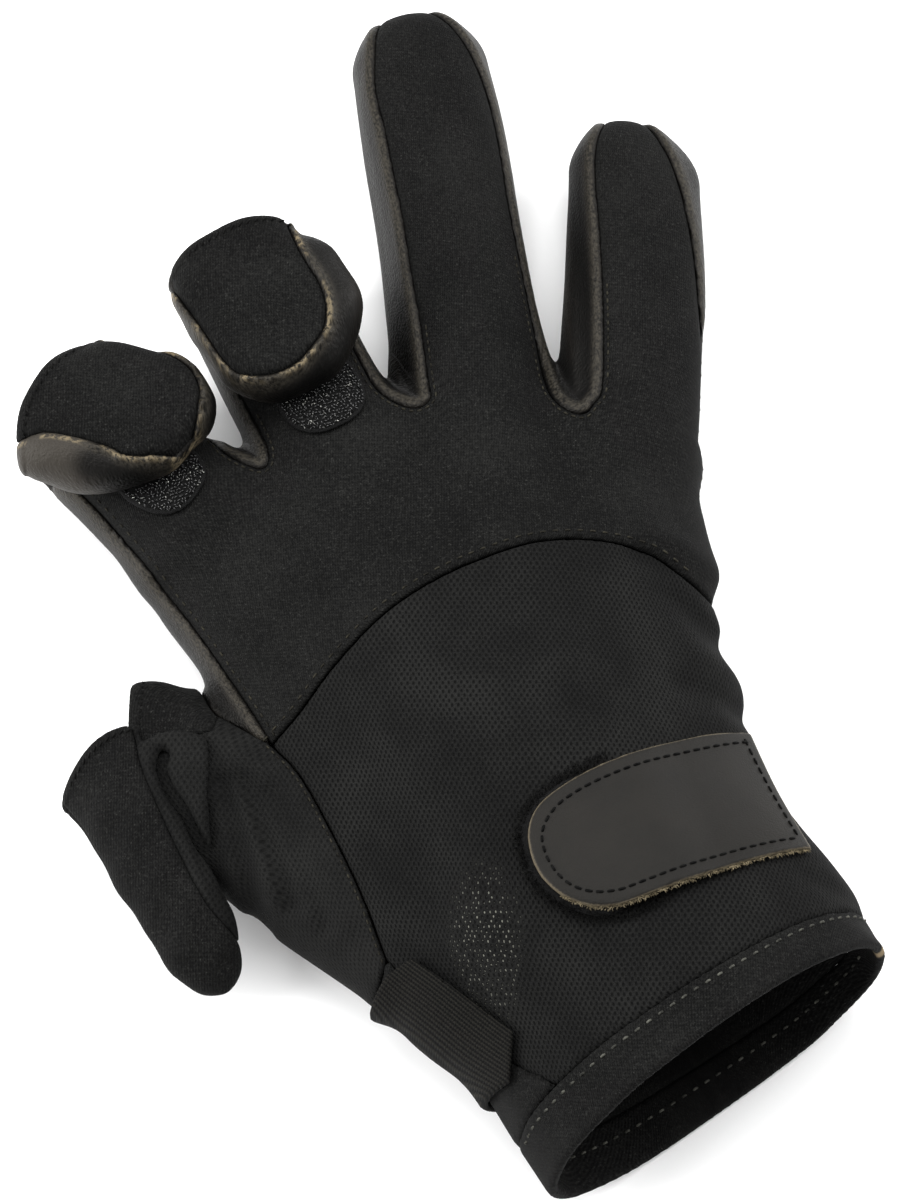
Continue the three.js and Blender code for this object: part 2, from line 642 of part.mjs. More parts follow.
// The hood's wall follows the back of its finger on the underside, and comes down on the finger's open edge.
function hoodPieces(hood, finger, neighbour) {
  const carrier = fingerForm(finger, neighbour);
  const edge = fingerStation(FINGERS[finger], HOOD_LIP);
  const pastEdge = new THREE.BoxGeometry(FAR, FAR, FAR);
  pastEdge.translate(0, FAR / 2, 0);
  pastEdge.rotateZ(-THREE.MathUtils.degToRad(FINGERS[finger].lean));
  pastEdge.translate(edge.centre.x, edge.centre.y, 0);
  const lipZone = toSolid(pastEdge);
  const under = carrier(HOOD_CLEARANCE).subtract(lipZone).add(carrier(SEAM_GAP));
  const room = carrier(HOOD_CLEARANCE + HOOD_WALL);
  const shell = hoodForm(hood, 0, 0).subtract(under).subtract(hoodForm(hood, -HOOD_WALL, 4).subtract(room));
  return {
    face: shell.intersect(hoodWedge(hood, 0)),
    side: shell.subtract(hoodWedge(hood, SEAM_GAP)),
  };
}

const indexHood = hoodPieces(HOODS.index, "index", "middle");
const middleHood = hoodPieces(HOODS.middle, "middle", "index");

function thumbHoodRing(row, grow, along) {
  const heading = THREE.MathUtils.degToRad(THUMB_HOOD_HEADING);
  const roll = THREE.MathUtils.degToRad(row.roll);
  const side = new THREE.Vector3(Math.cos(heading), -Math.sin(heading), 0);
  const station = {
    centre: new THREE.Vector3(row.x + Math.sin(heading) * along, row.y + Math.cos(heading) * along, row.z),
    side: side.clone().multiplyScalar(Math.cos(roll)).add(new THREE.Vector3(0, 0, -Math.sin(roll))),
    up: side.clone().multiplyScalar(Math.sin(roll)).add(new THREE.Vector3(0, 0, Math.cos(roll))),
  };
  return { station, ring: sectionRing(station, row.width + grow, row.height + grow, HOOD_SIDES, 2 / 2.2) };
}

function thumbHoodForm(grow, reach) {
  const last = THUMB_HOOD.length - 1;
  const rows = grow < 0 ? THUMB_HOOD.slice(0, last - 1) : THUMB_HOOD;
  return loft(rows.map((row, i) => thumbHoodRing(row, grow, i === 0 ? -reach : 0).ring));
}

function thumbFaceRegion(grow) {
  const last = THUMB_HOOD.length - 1;
  const reachPast = { 0: -6, [last]: 6 };
  const fan = { from: THUMB_FACE_EDGE, to: THUMB_FACE_SEAM, span: 1, reach: 30, apex: 0 };
  return loft(THUMB_HOOD.map((row, i) => {
    const { station } = thumbHoodRing(row, 0, reachPast[i] ?? 0);
    return fanRing(station, fan, grow);
  }));
}

const thumbCarrier = union([handSolid(SEAM_GAP), fingerSolid(FINGERS.thumb, SEAM_GAP, SEAM_GAP)]);
const thumbHoodShell = thumbHoodForm(0, 0)
  .subtract(thumbHoodForm(-HOOD_WALL, 4))
  .subtract(thumbCarrier)
  .intersect(above(0));

// The glove

const glove = new THREE.Group();
const pieces = [
  ["back_panel", panels.back_panel, FABRIC],
  ["wrist_panel", panels.wrist_panel, MESH_KNIT],
  ["thumb_gusset", panels.thumb_gusset, MESH_KNIT],
  ["thumb_pad", panels.thumb_pad, FABRIC],
  ["palm_panel", panels.palm_panel, LEATHER],
  ["under_wrist_panel", panels.under_wrist_panel, FABRIC],
  ["fourchette_index_middle", panels.fourchette_index_middle, LEATHER],
  ["fourchette_middle_ring", panels.fourchette_middle_ring, LEATHER],
  ["fourchette_ring_little", panels.fourchette_ring_little, LEATHER],
  ["cuff_hem", panels.cuff_hem, FABRIC],
  ["wrist_strap", strap, STRAP_LEATHER],
  ["strap_loop_patch", loopPatch, HOOK],
  ["elastic_tab", elasticTab, ELASTIC],
  ["index_hook_patch", indexPatch, HOOK],
  ["middle_hook_patch", middlePatch, HOOK],
  ["index_hood_face", indexHood.face, FABRIC],
  ["index_hood_side", indexHood.side, LEATHER],
  ["middle_hood_face", middleHood.face, FABRIC],
  ["middle_hood_side", middleHood.side, LEATHER],
  ["thumb_hood_face", thumbHoodShell.intersect(thumbFaceRegion(0)), FABRIC],
  ["thumb_hood_back", thumbHoodShell.subtract(thumbFaceRegion(SEAM_GAP)), MESH_KNIT],
];
for (const [name, solid, material] of pieces) {
  glove.add(toMesh(name, solid, material));
}

export default glove;
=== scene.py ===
# %% [markdown]
# # A neoprene glove with folded fingertips
# The glove lies palm down. Its ring and little fingers are whole. The tips of the index finger, the middle
# finger and the thumb are slit hoods that fold back. The packed model is the frame that every piece is fitted
# to. It is in metres, and so is this scene, but the tables below are in millimetres, because glove makers
# measure that way.

# %% Load the packed model
import math
from itertools import product

import bpy
import numpy as np
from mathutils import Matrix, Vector


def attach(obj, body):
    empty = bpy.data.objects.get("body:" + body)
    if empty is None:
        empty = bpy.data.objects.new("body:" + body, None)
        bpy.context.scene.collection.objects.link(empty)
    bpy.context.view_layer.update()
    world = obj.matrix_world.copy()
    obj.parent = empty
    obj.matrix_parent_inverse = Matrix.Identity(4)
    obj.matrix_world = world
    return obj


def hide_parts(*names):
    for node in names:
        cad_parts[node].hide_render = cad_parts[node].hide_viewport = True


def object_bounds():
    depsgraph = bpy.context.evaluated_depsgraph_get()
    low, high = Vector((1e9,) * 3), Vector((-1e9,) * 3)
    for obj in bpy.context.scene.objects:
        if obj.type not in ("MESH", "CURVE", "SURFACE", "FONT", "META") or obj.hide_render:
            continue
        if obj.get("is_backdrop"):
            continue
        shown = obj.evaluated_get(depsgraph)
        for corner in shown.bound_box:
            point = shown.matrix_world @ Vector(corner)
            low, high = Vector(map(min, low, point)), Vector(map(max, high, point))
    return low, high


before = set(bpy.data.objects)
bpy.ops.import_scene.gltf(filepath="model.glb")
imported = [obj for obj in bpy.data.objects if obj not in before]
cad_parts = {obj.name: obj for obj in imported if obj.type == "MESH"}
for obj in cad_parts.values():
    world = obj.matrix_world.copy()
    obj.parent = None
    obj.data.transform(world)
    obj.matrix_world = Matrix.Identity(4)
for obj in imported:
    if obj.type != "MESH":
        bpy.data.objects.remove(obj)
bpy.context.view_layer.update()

MM = 0.001

# %% [markdown]
# The camera comes early, because every later choice is judged through it. It stands 20 degrees off the
# vertical on the wrist's side, so that it sees a little into the cuff, and it is turned towards the thumb.
# A long lens keeps the fingers from spreading.

# %% Camera
AIM = Vector((0, 0, 20 * MM))
AZIMUTH, ELEVATION, DISTANCE, LENS = math.radians(-17.5), math.radians(70), 0.85, 127.5


def set_camera():
    back = Vector((math.sin(AZIMUTH) * math.cos(ELEVATION), -math.cos(AZIMUTH) * math.cos(ELEVATION),
                   math.sin(ELEVATION)))
    data = bpy.data.cameras.new("camera")
    data.lens, data.sensor_width, data.clip_start, data.clip_end = LENS, 36, 0.05, 10
    camera = bpy.data.objects.new("camera", data)
    camera.location = AIM + back * DISTANCE
    camera.rotation_euler = back.to_track_quat("Z", "Y").to_euler()
    bpy.context.scene.collection.objects.link(camera)
    bpy.context.scene.camera = camera
    return camera


print("camera at", [round(c, 3) for c in set_camera().location])

# %% [markdown]
# The whole glove is soft, so it isn't built from boxes. It could be sculpted, or lofted ring by ring, but
# then every seam would have to be cut into a finished mesh. Here each form is a field instead: a formula that
# is below zero inside the form, above zero outside it, and close to the distance from its skin. Fields join
# softly where two parts of a hand meet, and they cut softly where a panel ends, which rounds its edge like
# sewn foam. A table of measured sections becomes a smooth function of the place along the hand.

# %% Smooth tables and soft joins
def flowing(knots, values):
    """A function that runs smoothly through the values of a table, and stays flat beyond its ends."""
    knots, values = np.asarray(knots, float), np.asarray(values, float)
    slopes = np.gradient(values, knots)
    fine = np.linspace(knots[0], knots[-1], 1200)
    i = np.clip(np.searchsorted(knots, fine, side="right") - 1, 0, len(knots) - 2)
    width = knots[i + 1] - knots[i]
    t = (fine - knots[i]) / width
    curve = ((1 + 2 * t) * (1 - t) ** 2 * values[i] + t * (1 - t) ** 2 * width * slopes[i]
             + t * t * (3 - 2 * t) * values[i + 1] - t * t * (1 - t) * width * slopes[i + 1])
    return lambda at: np.interp(at, fine, curve)


def table(columns, rows):
    """A function for each column of a table, over the first column."""
    names = columns.split()
    across = list(zip(*rows))
    return {name: flowing(across[0], values) for name, values in zip(names[1:], across[1:])}


def either(a, b, soft):
    """Both forms, joined by a fillet."""
    overlap = np.maximum(soft - np.abs(a - b), 0) / soft
    return np.minimum(a, b) - overlap * overlap * soft / 4


def both(a, b, soft):
    """Only what lies in both forms, with a round edge."""
    return -either(-a, -b, soft)


def fade(value, start, end):
    """From 0 at start to 1 at end, with soft ends."""
    t = np.clip((value - start) / (end - start), 0, 1)
    return t * t * (3 - 2 * t)


print("a crease between two skins 1 mm away is filled to", either(1.0, 1.0, 2.0), "mm")

# %% [markdown]
# The hand and cuff are a stack of sections. A section is an oval whose upper half may be rounder than its
# lower half, because the palm lies flat. Skew and rake tilt it: the cuff's mouth leans back towards the arm.
# Bow pulls the little finger's side back, as real knuckles do. To find which section a point lies on, the
# tilt is undone a few times, until the answer settles.

# %% Hand and cuff
HAND = table("y left right top skew rake bow power", [
    (-107.6, -18.6, 58, 46, .32, .165, 0, 2), (-97, -22.1, 56.8, 45.5, .26, .16, 0, 2),
    (-84, -26.2, 53.8, 44, .2, .12, 0, 2.1), (-72, -34.8, 50.8, 43, .12, .06, 0, 2.2),
    (-60, -36, 48.6, 42, .05, 0, 0, 2.3), (-46, -36, 48.3, 41, 0, 0, 0, 2.4),
    (-34, -40, 49, 39.5, 0, 0, 0, 2.5), (-19, -46, 49.6, 37, 0, 0, 0, 2.7),
    (-8, -49.6, 52.6, 35, 0, 0, 0, 2.8), (4, -52.6, 53.8, 33, 0, 0, .001, 2.8),
    (18, -57, 54.8, 30, 0, 0, .003, 2.8), (30, -57.6, 56.5, 27.5, 0, 0, .005, 2.8),
    (38, -52, 55, 25.5, 0, 0, .0065, 2.8), (42, -46, 50, 24, 0, 0, .0075, 2.8),
    (48, -38, 44, 21.5, 0, 0, .0075, 2.8),
])
WALL = 2.2
MOUTH_LEVEL = -107.6
KNUCKLE_LEVEL = 44.5
KNUCKLE_ROUND = 7
UPPER_POWER = 2.2
WIDEST = 0.42
PALM_DIP = 1.2


def hand_level(x, y, z):
    level = y
    for _ in range(3):
        centre = (HAND["left"](level) + HAND["right"](level)) / 2
        level = (y - HAND["skew"](level) * (x - centre) - HAND["rake"](level) * (z - HAND["top"](level) / 2)
                 + HAND["bow"](level) * np.maximum(x - 2, 0) ** 2)
    return level


def oval(across, up, width, height, power):
    """Distance from an oval of those half-sizes. Power 2 is an ellipse, and more is squarer."""
    u = np.abs(across) / width + 1e-4
    v = np.abs(up) / height + 1e-4
    total = u ** power + v ** power
    reach = total ** (1 / power)
    slope = np.sqrt((u ** (power - 1) / width) ** 2 + (v ** (power - 1) / height) ** 2) * reach / total
    return (reach - 1) / np.maximum(slope, 0.5 / np.maximum(width, height))


def hand_form(x, y, z):
    level = hand_level(x, y, z)
    left, right, top = (HAND[name](level) for name in ("left", "right", "top"))
    widest = WIDEST * top
    upper = z > widest
    height = np.where(upper, top - widest, widest + PALM_DIP)
    power = np.where(upper, UPPER_POWER, HAND["power"](level))
    form = oval(x - (left + right) / 2, z - widest, (right - left) / 2, height, power)
    return both(form, level - KNUCKLE_LEVEL, KNUCKLE_ROUND), level


print("the hand is", round(float(HAND["right"](18) - HAND["left"](18)), 1), "mm wide over the knuckles")

# %% [markdown]
# A finger is a tapering tube along its own line, turned towards its neighbour and rolled a little, so that
# its leather side shows. It starts small inside the hand. A closed finger ends in a dome. The index, the
# middle finger and the thumb are open stubs, because their tips are folded away. A tube of its own for each
# finger keeps every measure in one row, where a lofted hand would spread it over many rings.

# %% Fingers
FINGER_COLUMNS = ("x", "y", "lean", "bend", "length", "root_width", "tip_width", "root_z", "tip_z",
                  "root_height", "tip_height", "roll", "start", "open")
FINGERS = {name: dict(zip(FINGER_COLUMNS, row)) for name, row in {
    "ring": (17.2, 39, 9.1, 0, 93.4, 15.2, 15, 14, 11, 12.5, 10.6, 12, -.45, False),
    "little": (45.5, 28, 24, -9, 69, 14.9, 14.1, 13.5, 10.5, 12, 10.2, 14, -.45, False),
    "middle": (-12.6, 38, -8, 0, 40, 15.5, 15, 14.5, 13, 12.5, 12, 0, -.45, True),
    "index": (-44.3, 33.1, -31, 0, 33, 15.8, 12.4, 14, 13, 12.5, 12, 0, -.45, True),
    "thumb": (-22.8, -56, -45, 0, 74, 24.4, 14, 16, 12.5, 16, 12, 0, -.2, True),
}.items()}
for name, finger in FINGERS.items():
    finger["web"] = 7 if name == "thumb" else 6.3
TIP_ROUND = 13
ROOT_TAPER = 0.62
FINGER_POWER = 2.3
STUB_END = -64.2
STUB_FACING = (-0.954, 0.301)
STUB_TOP = {"x": -60, "y": 4, "slope": 0.28}


def finger_place(finger, x, y, z):
    """Where a point lies along a finger, to its side and above its middle."""
    lean, roll = math.radians(finger["lean"]), math.radians(finger["roll"])
    dx, dy = x - finger["x"], y - finger["y"]
    along = dx * math.sin(lean) + dy * math.cos(lean)
    share = along / finger["length"]
    drift = math.radians(finger["bend"]) * np.maximum(along, 0) ** 2 / (2 * finger["length"])
    side = dx * math.cos(lean) - dy * math.sin(lean) - drift
    inside = np.clip(share, 0, 1)
    up = z - finger["root_z"] - (finger["tip_z"] - finger["root_z"]) * inside
    return (along, side * math.cos(roll) - up * math.sin(roll), side * math.sin(roll) + up * math.cos(roll))


def finger_form(finger, x, y, z):
    along, side, up = finger_place(finger, x, y, z)
    share = np.clip(along / finger["length"], 0, 1)
    taper = ROOT_TAPER + (1 - ROOT_TAPER) * fade(along / finger["length"], finger["start"], 0)
    width = (finger["root_width"] + (finger["tip_width"] - finger["root_width"]) * share) * taper
    height = (finger["root_height"] + (finger["tip_height"] - finger["root_height"]) * share) * taper
    if not finger["open"]:
        dome = np.clip((along - finger["length"] + TIP_ROUND) / TIP_ROUND, 0, 0.995)
        shrink = np.sqrt(1 - dome * dome)
        flat = oval(side, up, width * shrink, height * shrink ** 0.7, FINGER_POWER)
        beyond = along - finger["length"]
        form = np.where(along > finger["length"] - TIP_ROUND, flat * np.sqrt(shrink + 0.05), flat)
        form = both(form, beyond, 2)
    else:
        form = oval(side, up, width, height, FINGER_POWER)
    if finger is FINGERS["thumb"]:
        form = both(form, y - STUB_TOP["y"] - STUB_TOP["slope"] * (x - STUB_TOP["x"]), 3.5)
    return both(form, finger["start"] * finger["length"] - along, 4)


def past_stub(x, y):
    """Above zero beyond the thumb's open end."""
    return STUB_END + STUB_FACING[0] * x + STUB_FACING[1] * y


def finger_reach(finger):
    """The part of the plan that a finger can touch."""
    lean, margin = math.radians(finger["lean"]), finger["root_width"] + 14
    ends = [(finger["x"] + math.sin(lean) * t, finger["y"] + math.cos(lean) * t)
            for t in (finger["start"] * finger["length"], finger["length"] + (14 if finger["open"] else 0))]
    return [f(v) + sign * margin for v in zip(*ends) for f, sign in ((min, -1), (max, 1))]


print("finger lengths in mm:", {name: finger["length"] for name, finger in FINGERS.items()})

# %% [markdown]
# Soft goods are never quite smooth. Long shallow ripples go all over, and a few deep folds lie where the
# photograph shows them: three creases run into the little finger's side, and the thumb's knit bunches up in
# long diagonal folds. A cloth simulation would choose their places itself, so they are drawn as lines in
# the plan. A positive depth makes a valley, and a negative one a ridge.

# %% Folds and ripples
FOLDS = [dict(zip(("x0", "y0", "x1", "y1", "depth", "width"), row)) for row in [
    (37, -5, 53, -20, 1.5, 3.2), (42, -1, 56, -12, -.8, 3), (40, -15, 52, -33, 1.6, 3.2),
    (44, -12, 54, -24, -.9, 2.8), (36, -35, 52, -45, 1.3, 3), (42, -28, 53, -37, -.7, 2.6),
    (-55, -25, -56, -52, 1.8, 2.2), (-51, -26, -49, -52, 1.9, 2.2), (-53, -27, -53, -50, -.9, 1.8),
    (-47, -30, -44, -58, 1.5, 2.2), (-60, -30, -62, -50, 1.4, 2.4), (-53, -7, -44, -22, .9, 2.4),
    (-57, -12, -49, -24, -.8, 2.6), (46, -80, 56, -88, .9, 2.6), (50, -88, 58, -93, .7, 2),
    (-38, -62, -24, -78, .7, 3), (-16, -44, -28, -66, .5, 4), (6, -30, 24, -36, .4, 5),
    (-36, -10, -30, -36, .4, 5), (-4, 26, -14, 38, .5, 4), (26, 30, 30, 46, .4, 4),
]]
WAVES = np.random.default_rng(7).normal(size=(7, 4))
WAVE_DEPTH = 0.09


def near_line(x, y, x0, y0, x1, y1):
    """Distance from a straight line between two points in the plan."""
    dx, dy = x1 - x0, y1 - y0
    share = np.clip(((x - x0) * dx + (y - y0) * dy) / (dx * dx + dy * dy), 0, 1)
    return np.hypot(x - x0 - share * dx, y - y0 - share * dy)


def relief(x, y, z):
    """How far the folds and ripples push the skin in."""
    amount = 0
    for fold in FOLDS:
        distance = near_line(x, y, fold["x0"], fold["y0"], fold["x1"], fold["y1"])
        amount = amount + fold["depth"] * np.exp(-(distance / fold["width"]) ** 2)
    amount = amount * fade(z, 4, 14)
    for a, b, c, phase in WAVES:
        length = 11 + 5 * abs(phase)
        amount = amount + WAVE_DEPTH * np.sin((a * x + b * y + 1.5 * c * z) / length * 2.2 + 9 * phase)
    return amount


def glove_form(x, y, z):
    """The closed outer form of the glove, and the section level of every point."""
    form, level = hand_form(x, y, z)
    form, level = np.broadcast_arrays(form, level)
    form = np.array(form)
    for finger in FINGERS.values():
        left, right, low, high = finger_reach(finger)
        if form.ndim < 3:
            form = either(form, finger_form(finger, x, y, z), finger["web"])
            continue
        i = np.flatnonzero((x.ravel() > left) & (x.ravel() < right))
        j = np.flatnonzero((y.ravel() > low) & (y.ravel() < high))
        if len(i) and len(j):
            i, j = slice(i[0], i[-1] + 1), slice(j[0], j[-1] + 1)
            part = finger_form(finger, x[i], y[:, j], z)
            form[i, j] = either(form[i, j], part, finger["web"])
    form = form + relief(x, y, z)
    return both(form, -z, 3), level


FAR_INSIDE = -50


def open_ends(x, y, z, level):
    """Above zero beyond the mouth of the cuff and the open fingers. Each finger's end cuts only near it."""
    index, middle = (finger_place(FINGERS[name], x, y, z)[0] - FINGERS[name]["length"]
                     for name in ("index", "middle"))
    beyond = np.maximum(MOUTH_LEVEL - level, np.where(y < 14, past_stub(x, y), FAR_INSIDE))
    beyond = np.maximum(beyond, np.where((x < -38) & (y > 30), index, FAR_INSIDE))
    return np.maximum(beyond, np.where((x < 4) & (y > 50) & (x > -40), middle, FAR_INSIDE))


print(len(FOLDS), "folds and", len(WAVES), "ripples")

# %% [markdown]
# Seams are drawn in the plan, as a pattern cutter draws them. An outline gives two numbers for every point:
# how far it is from the edge, which is below zero inside, and how far along the edge its nearest spot lies,
# which places puckers and stitches. A smooth curve runs through each row of points, so few points are needed.

# %% Outlines in the plan
def curve_through(points, steps=5, closed=True):
    """More points along a smooth curve through the given ones."""
    points = np.asarray(points, float)
    count = len(points)
    pick = (lambda i: points[i % count]) if closed else (lambda i: points[min(max(i, 0), count - 1)])
    found = []
    for i in range(count if closed else count - 1):
        a, b, c, d = pick(i - 1), pick(i), pick(i + 1), pick(i + 2)
        for t in np.arange(steps) / steps:
            found.append(0.5 * (2 * b + (c - a) * t + (2 * a - 5 * b + 4 * c - d) * t * t
                                + (3 * b - a - 3 * c + d) * t ** 3))
    return np.array(found if closed else [*found, points[-1]])


def outline_distance(points, x, y):
    shape = np.broadcast(x, y).shape
    best, place, inside = np.full(shape, 1e9), np.zeros(shape), np.zeros(shape, bool)
    run = 0.0
    for (ax, ay), (bx, by) in zip(points, np.roll(points, -1, 0)):
        dx, dy = bx - ax, by - ay
        length = math.hypot(dx, dy) or 1e-9
        share = np.clip(((x - ax) * dx + (y - ay) * dy) / length ** 2, 0, 1)
        distance = (x - ax - share * dx) ** 2 + (y - ay - share * dy) ** 2
        nearer = distance < best
        best, place = np.where(nearer, distance, best), np.where(nearer, run + share * length, place)
        if ay != by:
            inside ^= ((ay > y) != (by > y)) & (x < ax + (y - ay) * dx / dy)
        run += length
    return np.where(inside, -1, 1) * np.sqrt(best), place


print("a smooth round of four points has", len(curve_through([(0, 0), (1, 0), (1, 1), (0, 1)])), "points")

# %% [markdown]
# The back is one piece of knit that reaches from the fingertips to a curved seam across the hand. A long seam
# parts it from the leather on the thumb's side, and small round seams pass under each crotch. The mesh of the
# wrist begins at the curved seam. Neighbours share one row of points, so their edges can't drift apart.

# %% Seams and pattern pieces
LONG_SEAM = [(-65, 44.5), (-59.2, 31.6), (-54.8, 20.2), (-50.4, 6.9), (-47.1, -5.5), (-43.8, -20)]
ARC_SEAM = [(-43.8, -20), (-36.5, -15.9), (-28.7, -10.4), (-17.5, -3.9), (-9.3, -.6), (0, 1.6), (8.3, 2.6),
            (16.6, 2.8), (24.6, 1.6), (32.1, -1), (37.5, -3.8), (41, -6.6), (47, -14), (60, -26)]
THUMB_SEAM = [(-43.8, -20), (-40.3, -29), (-37.6, -44), (-36, -57), (-35.3, -69)]
RADIAL_SEAM = [(-35.3, -69), (-30, -80), (-21, -94), (-9, -108)]
CROTCH_INDEX = [(-44, 57), (-36.6, 48), (-35, 43.6), (-31.8, 39.4), (-28.3, 37.2), (-26.6, 41), (-27.5, 50)]
CROTCH_MIDDLE = [(-4, 66), (-2.6, 52), (-1, 46), (2.6, 41.4), (5.3, 39.9), (7.8, 40.9), (8.4, 44.2),
                 (10.8, 57.4)]
CROTCH_RING = [(35.8, 68), (33.7, 52.2), (32.3, 41.1), (32, 35.5), (33.4, 31.2), (36.4, 28.5), (38.8, 30),
               (41.4, 32.4), (45.2, 42.8), (49.2, 55.6)]
RING_TIP = [(12.4, 68.6), (14.6, 82.1), (16, 93.6), (17.2, 102.8), (18.1, 112.2), (20.2, 119.8), (23, 127),
            (28, 134), (33.5, 131), (38, 124.4), (40.6, 114.5), (40.8, 103.5), (39.2, 90.8), (37.6, 81.7)]
LITTLE_TIP = [(52.8, 68.6), (55.6, 79.7), (58.2, 86.8), (61.4, 92), (66, 97.5), (70, 91.6), (71.8, 84.6),
              (72.4, 74.3), (70.8, 60.6), (67.9, 47.3), (66, 38.5)]
BACK_OUTLINE = np.vstack([
    curve_through([(-79, 68), (-58, 74), *CROTCH_INDEX, (-30, 66), (-31, 90), (-4, 90), *CROTCH_MIDDLE,
                   *RING_TIP, *CROTCH_RING, *LITTLE_TIP], 4, False),
    [(76, 30), (76, -14)],
    curve_through(ARC_SEAM[::-1], 3, False),
    curve_through([*LONG_SEAM[::-1], (-71, 52)], 3, False)[1:],
])
WRIST_OUTLINE = np.vstack([
    curve_through(ARC_SEAM[::-1], 3, False), curve_through(THUMB_SEAM, 3, False)[1:],
    curve_through(RADIAL_SEAM, 3, False)[1:], [(0, -140), (90, -140), (90, -40)],
])
THUMB_CROTCH = [(-58, 12), (-54.2, 4)]
GUSSET_OUTLINE = np.vstack([THUMB_CROTCH, [(-53.2, -8.5)], curve_through(THUMB_SEAM, 3, False),
                            [(-42, -80), (-120, -80), (-120, 12)]])
BEYOND_CROTCH = np.array([(-53, -7), (-48, -30), (-56, -62), (-110, -70), (-110, 12), *THUMB_CROTCH])
STUB_OUTLINE = np.array([(-95, -14), (-60, -14), (-54, -14), (-51, -8), (-50, 4), (-58, 14), (-95, 14)])
UNDER_WRIST_OUTLINE = np.array([(-120, -68), (-36, -68), (-10, -62), (20, -60), (80, -62), (90, -160),
                                (-120, -160)])
print("back panel outline has", len(BACK_OUTLINE), "points")

# %% [markdown]
# A field becomes a mesh by laying a grid over it. Metaballs and remeshing do something like it, but they know
# nothing of formulas. Every grid cell that the skin passes through gets one point, at the mean of the places
# where the skin crosses the cell's edges, and every crossed edge gets one four-sided face. The result follows
# the form evenly, without the poles and seams of lofted meshes.

# %% From field to mesh
def skin(values, low, step):
    inside = values < 0
    cells_along = [n - 1 for n in values.shape]
    count = np.zeros(cells_along, np.uint8)
    for corner in product((0, 1), repeat=3):
        count += inside[tuple(slice(c, c + n) for c, n in zip(corner, cells_along))]
    cells = np.argwhere((count > 0) & (count < 8))
    number = np.full(cells_along, -1, np.int64)
    number[tuple(cells.T)] = np.arange(len(cells))
    total, hits = np.zeros((len(cells), 3)), np.zeros((len(cells), 1))
    faces = []
    for axis in range(3):
        step_along = np.eye(3, dtype=int)[axis]
        for a, b in product((0, 1), repeat=2):
            start = np.insert([a, b], axis, 0)
            first = values[tuple((cells + start).T)]
            last = values[tuple((cells + start + step_along).T)]
            crossed = (first < 0) != (last < 0)
            share = first / np.where(crossed, first - last, 1)
            total += (start + share[:, None] * step_along) * crossed[:, None]
            hits[:, 0] += crossed
        u, v = np.eye(3, dtype=int)[(axis + 1) % 3], np.eye(3, dtype=int)[(axis + 2) % 3]
        edges = np.argwhere(np.diff(inside, axis=axis))
        edges = edges[(edges @ u > 0) & (edges @ v > 0) & (edges @ u < np.array(values.shape) @ u - 1)
                      & (edges @ v < np.array(values.shape) @ v - 1)]
        quads = np.stack([number[tuple(c.T)] for c in (edges - u - v, edges - v, edges, edges - u)], 1)
        turned = ~inside[tuple(edges.T)]
        quads[turned] = quads[turned][:, ::-1]
        faces.append(quads)
    return np.array(low) + (cells + total / hits) * step, np.vstack(faces)


GRID = np.arange(-6, 6.5)
ball, _ = skin(np.hypot(np.hypot(GRID[:, None, None], GRID[:, None]), GRID) - 5, (-6, -6, -6), 1)
reach = float(np.linalg.norm(ball, axis=1).mean())
print("a ball of 5 mm gets", len(ball), "points, on average", round(reach, 2), "mm from its middle")

# %% [markdown]
# Cutting one panel out of another can leave a crumb beside it, so only the largest body is kept. Each mesh
# also carries, for each of its points, a place on its own flat piece of fabric, which the finishes use.

# %% Carving a piece
def largest_body(points, faces):
    """Drops the crumbs that a cut leaves, and keeps the body with the most points."""
    label = np.arange(len(points))
    a, b = np.vstack([faces[:, [0, 1]], faces[:, [1, 2]], faces[:, [2, 3]]]).T
    while True:
        lower = np.minimum(label[a], label[b])
        new = label.copy()
        np.minimum.at(new, a, lower)
        np.minimum.at(new, b, lower)
        new = new[new]
        if (new == label).all():
            break
        label = new
    kept = label == np.bincount(label).argmax()
    number = np.cumsum(kept) - 1
    return points[kept], number[faces[kept[faces].all(1)]]


def new_mesh(name, points, faces):
    """A smooth mesh object. Points are in millimetres, and all faces have the same number of corners."""
    mesh = bpy.data.meshes.new(name)
    corners = faces.shape[1]
    mesh.vertices.add(len(points))
    mesh.vertices.foreach_set("co", (points * MM).astype(np.float32).ravel())
    mesh.loops.add(faces.size)
    mesh.loops.foreach_set("vertex_index", faces.astype(np.int32).ravel())
    mesh.polygons.add(len(faces))
    mesh.polygons.foreach_set("loop_start", np.arange(0, faces.size, corners, dtype=np.int32))
    mesh.polygons.foreach_set("use_smooth", np.ones(len(faces), bool))
    mesh.update(calc_edges=True)
    mesh.validate()
    thing = bpy.data.objects.new(name, mesh)
    bpy.context.scene.collection.objects.link(thing)
    return thing


def carve(name, low, high, step, field, cloth=None):
    """The piece that a field describes, within a box. cloth says where each point lies on its fabric."""
    x, y, z = (np.arange(a, b + step, step) for a, b in zip(low, high))
    values = field(x[:, None, None], y[None, :, None], z[None, None, :])
    points, faces = largest_body(*skin(np.asarray(values, np.float32), low, step))
    piece = new_mesh(f"{name}_soft", points, faces)
    if cloth is None:
        places = points
    else:
        places = np.stack(np.broadcast_arrays(*cloth(*(c[:, None] for c in points.T))), -1)[:, 0]
    spots = piece.data.attributes.new("cloth", "FLOAT_VECTOR", "POINT")
    spots.data.foreach_set("vector", places.astype(np.float32).ravel())
    print(f"{name}: {len(faces)} faces")
    return piece


# %% [markdown]
# A weave has to lie on the cloth, not float through it. Unwrapping each panel would do, but the rows would
# break at every seam. Instead each point of a panel carries its place on the flat fabric: across, along and
# its height. Going over the side of the hand or a finger, the drop in height is added to the distance
# across, so that the rows keep their spacing.

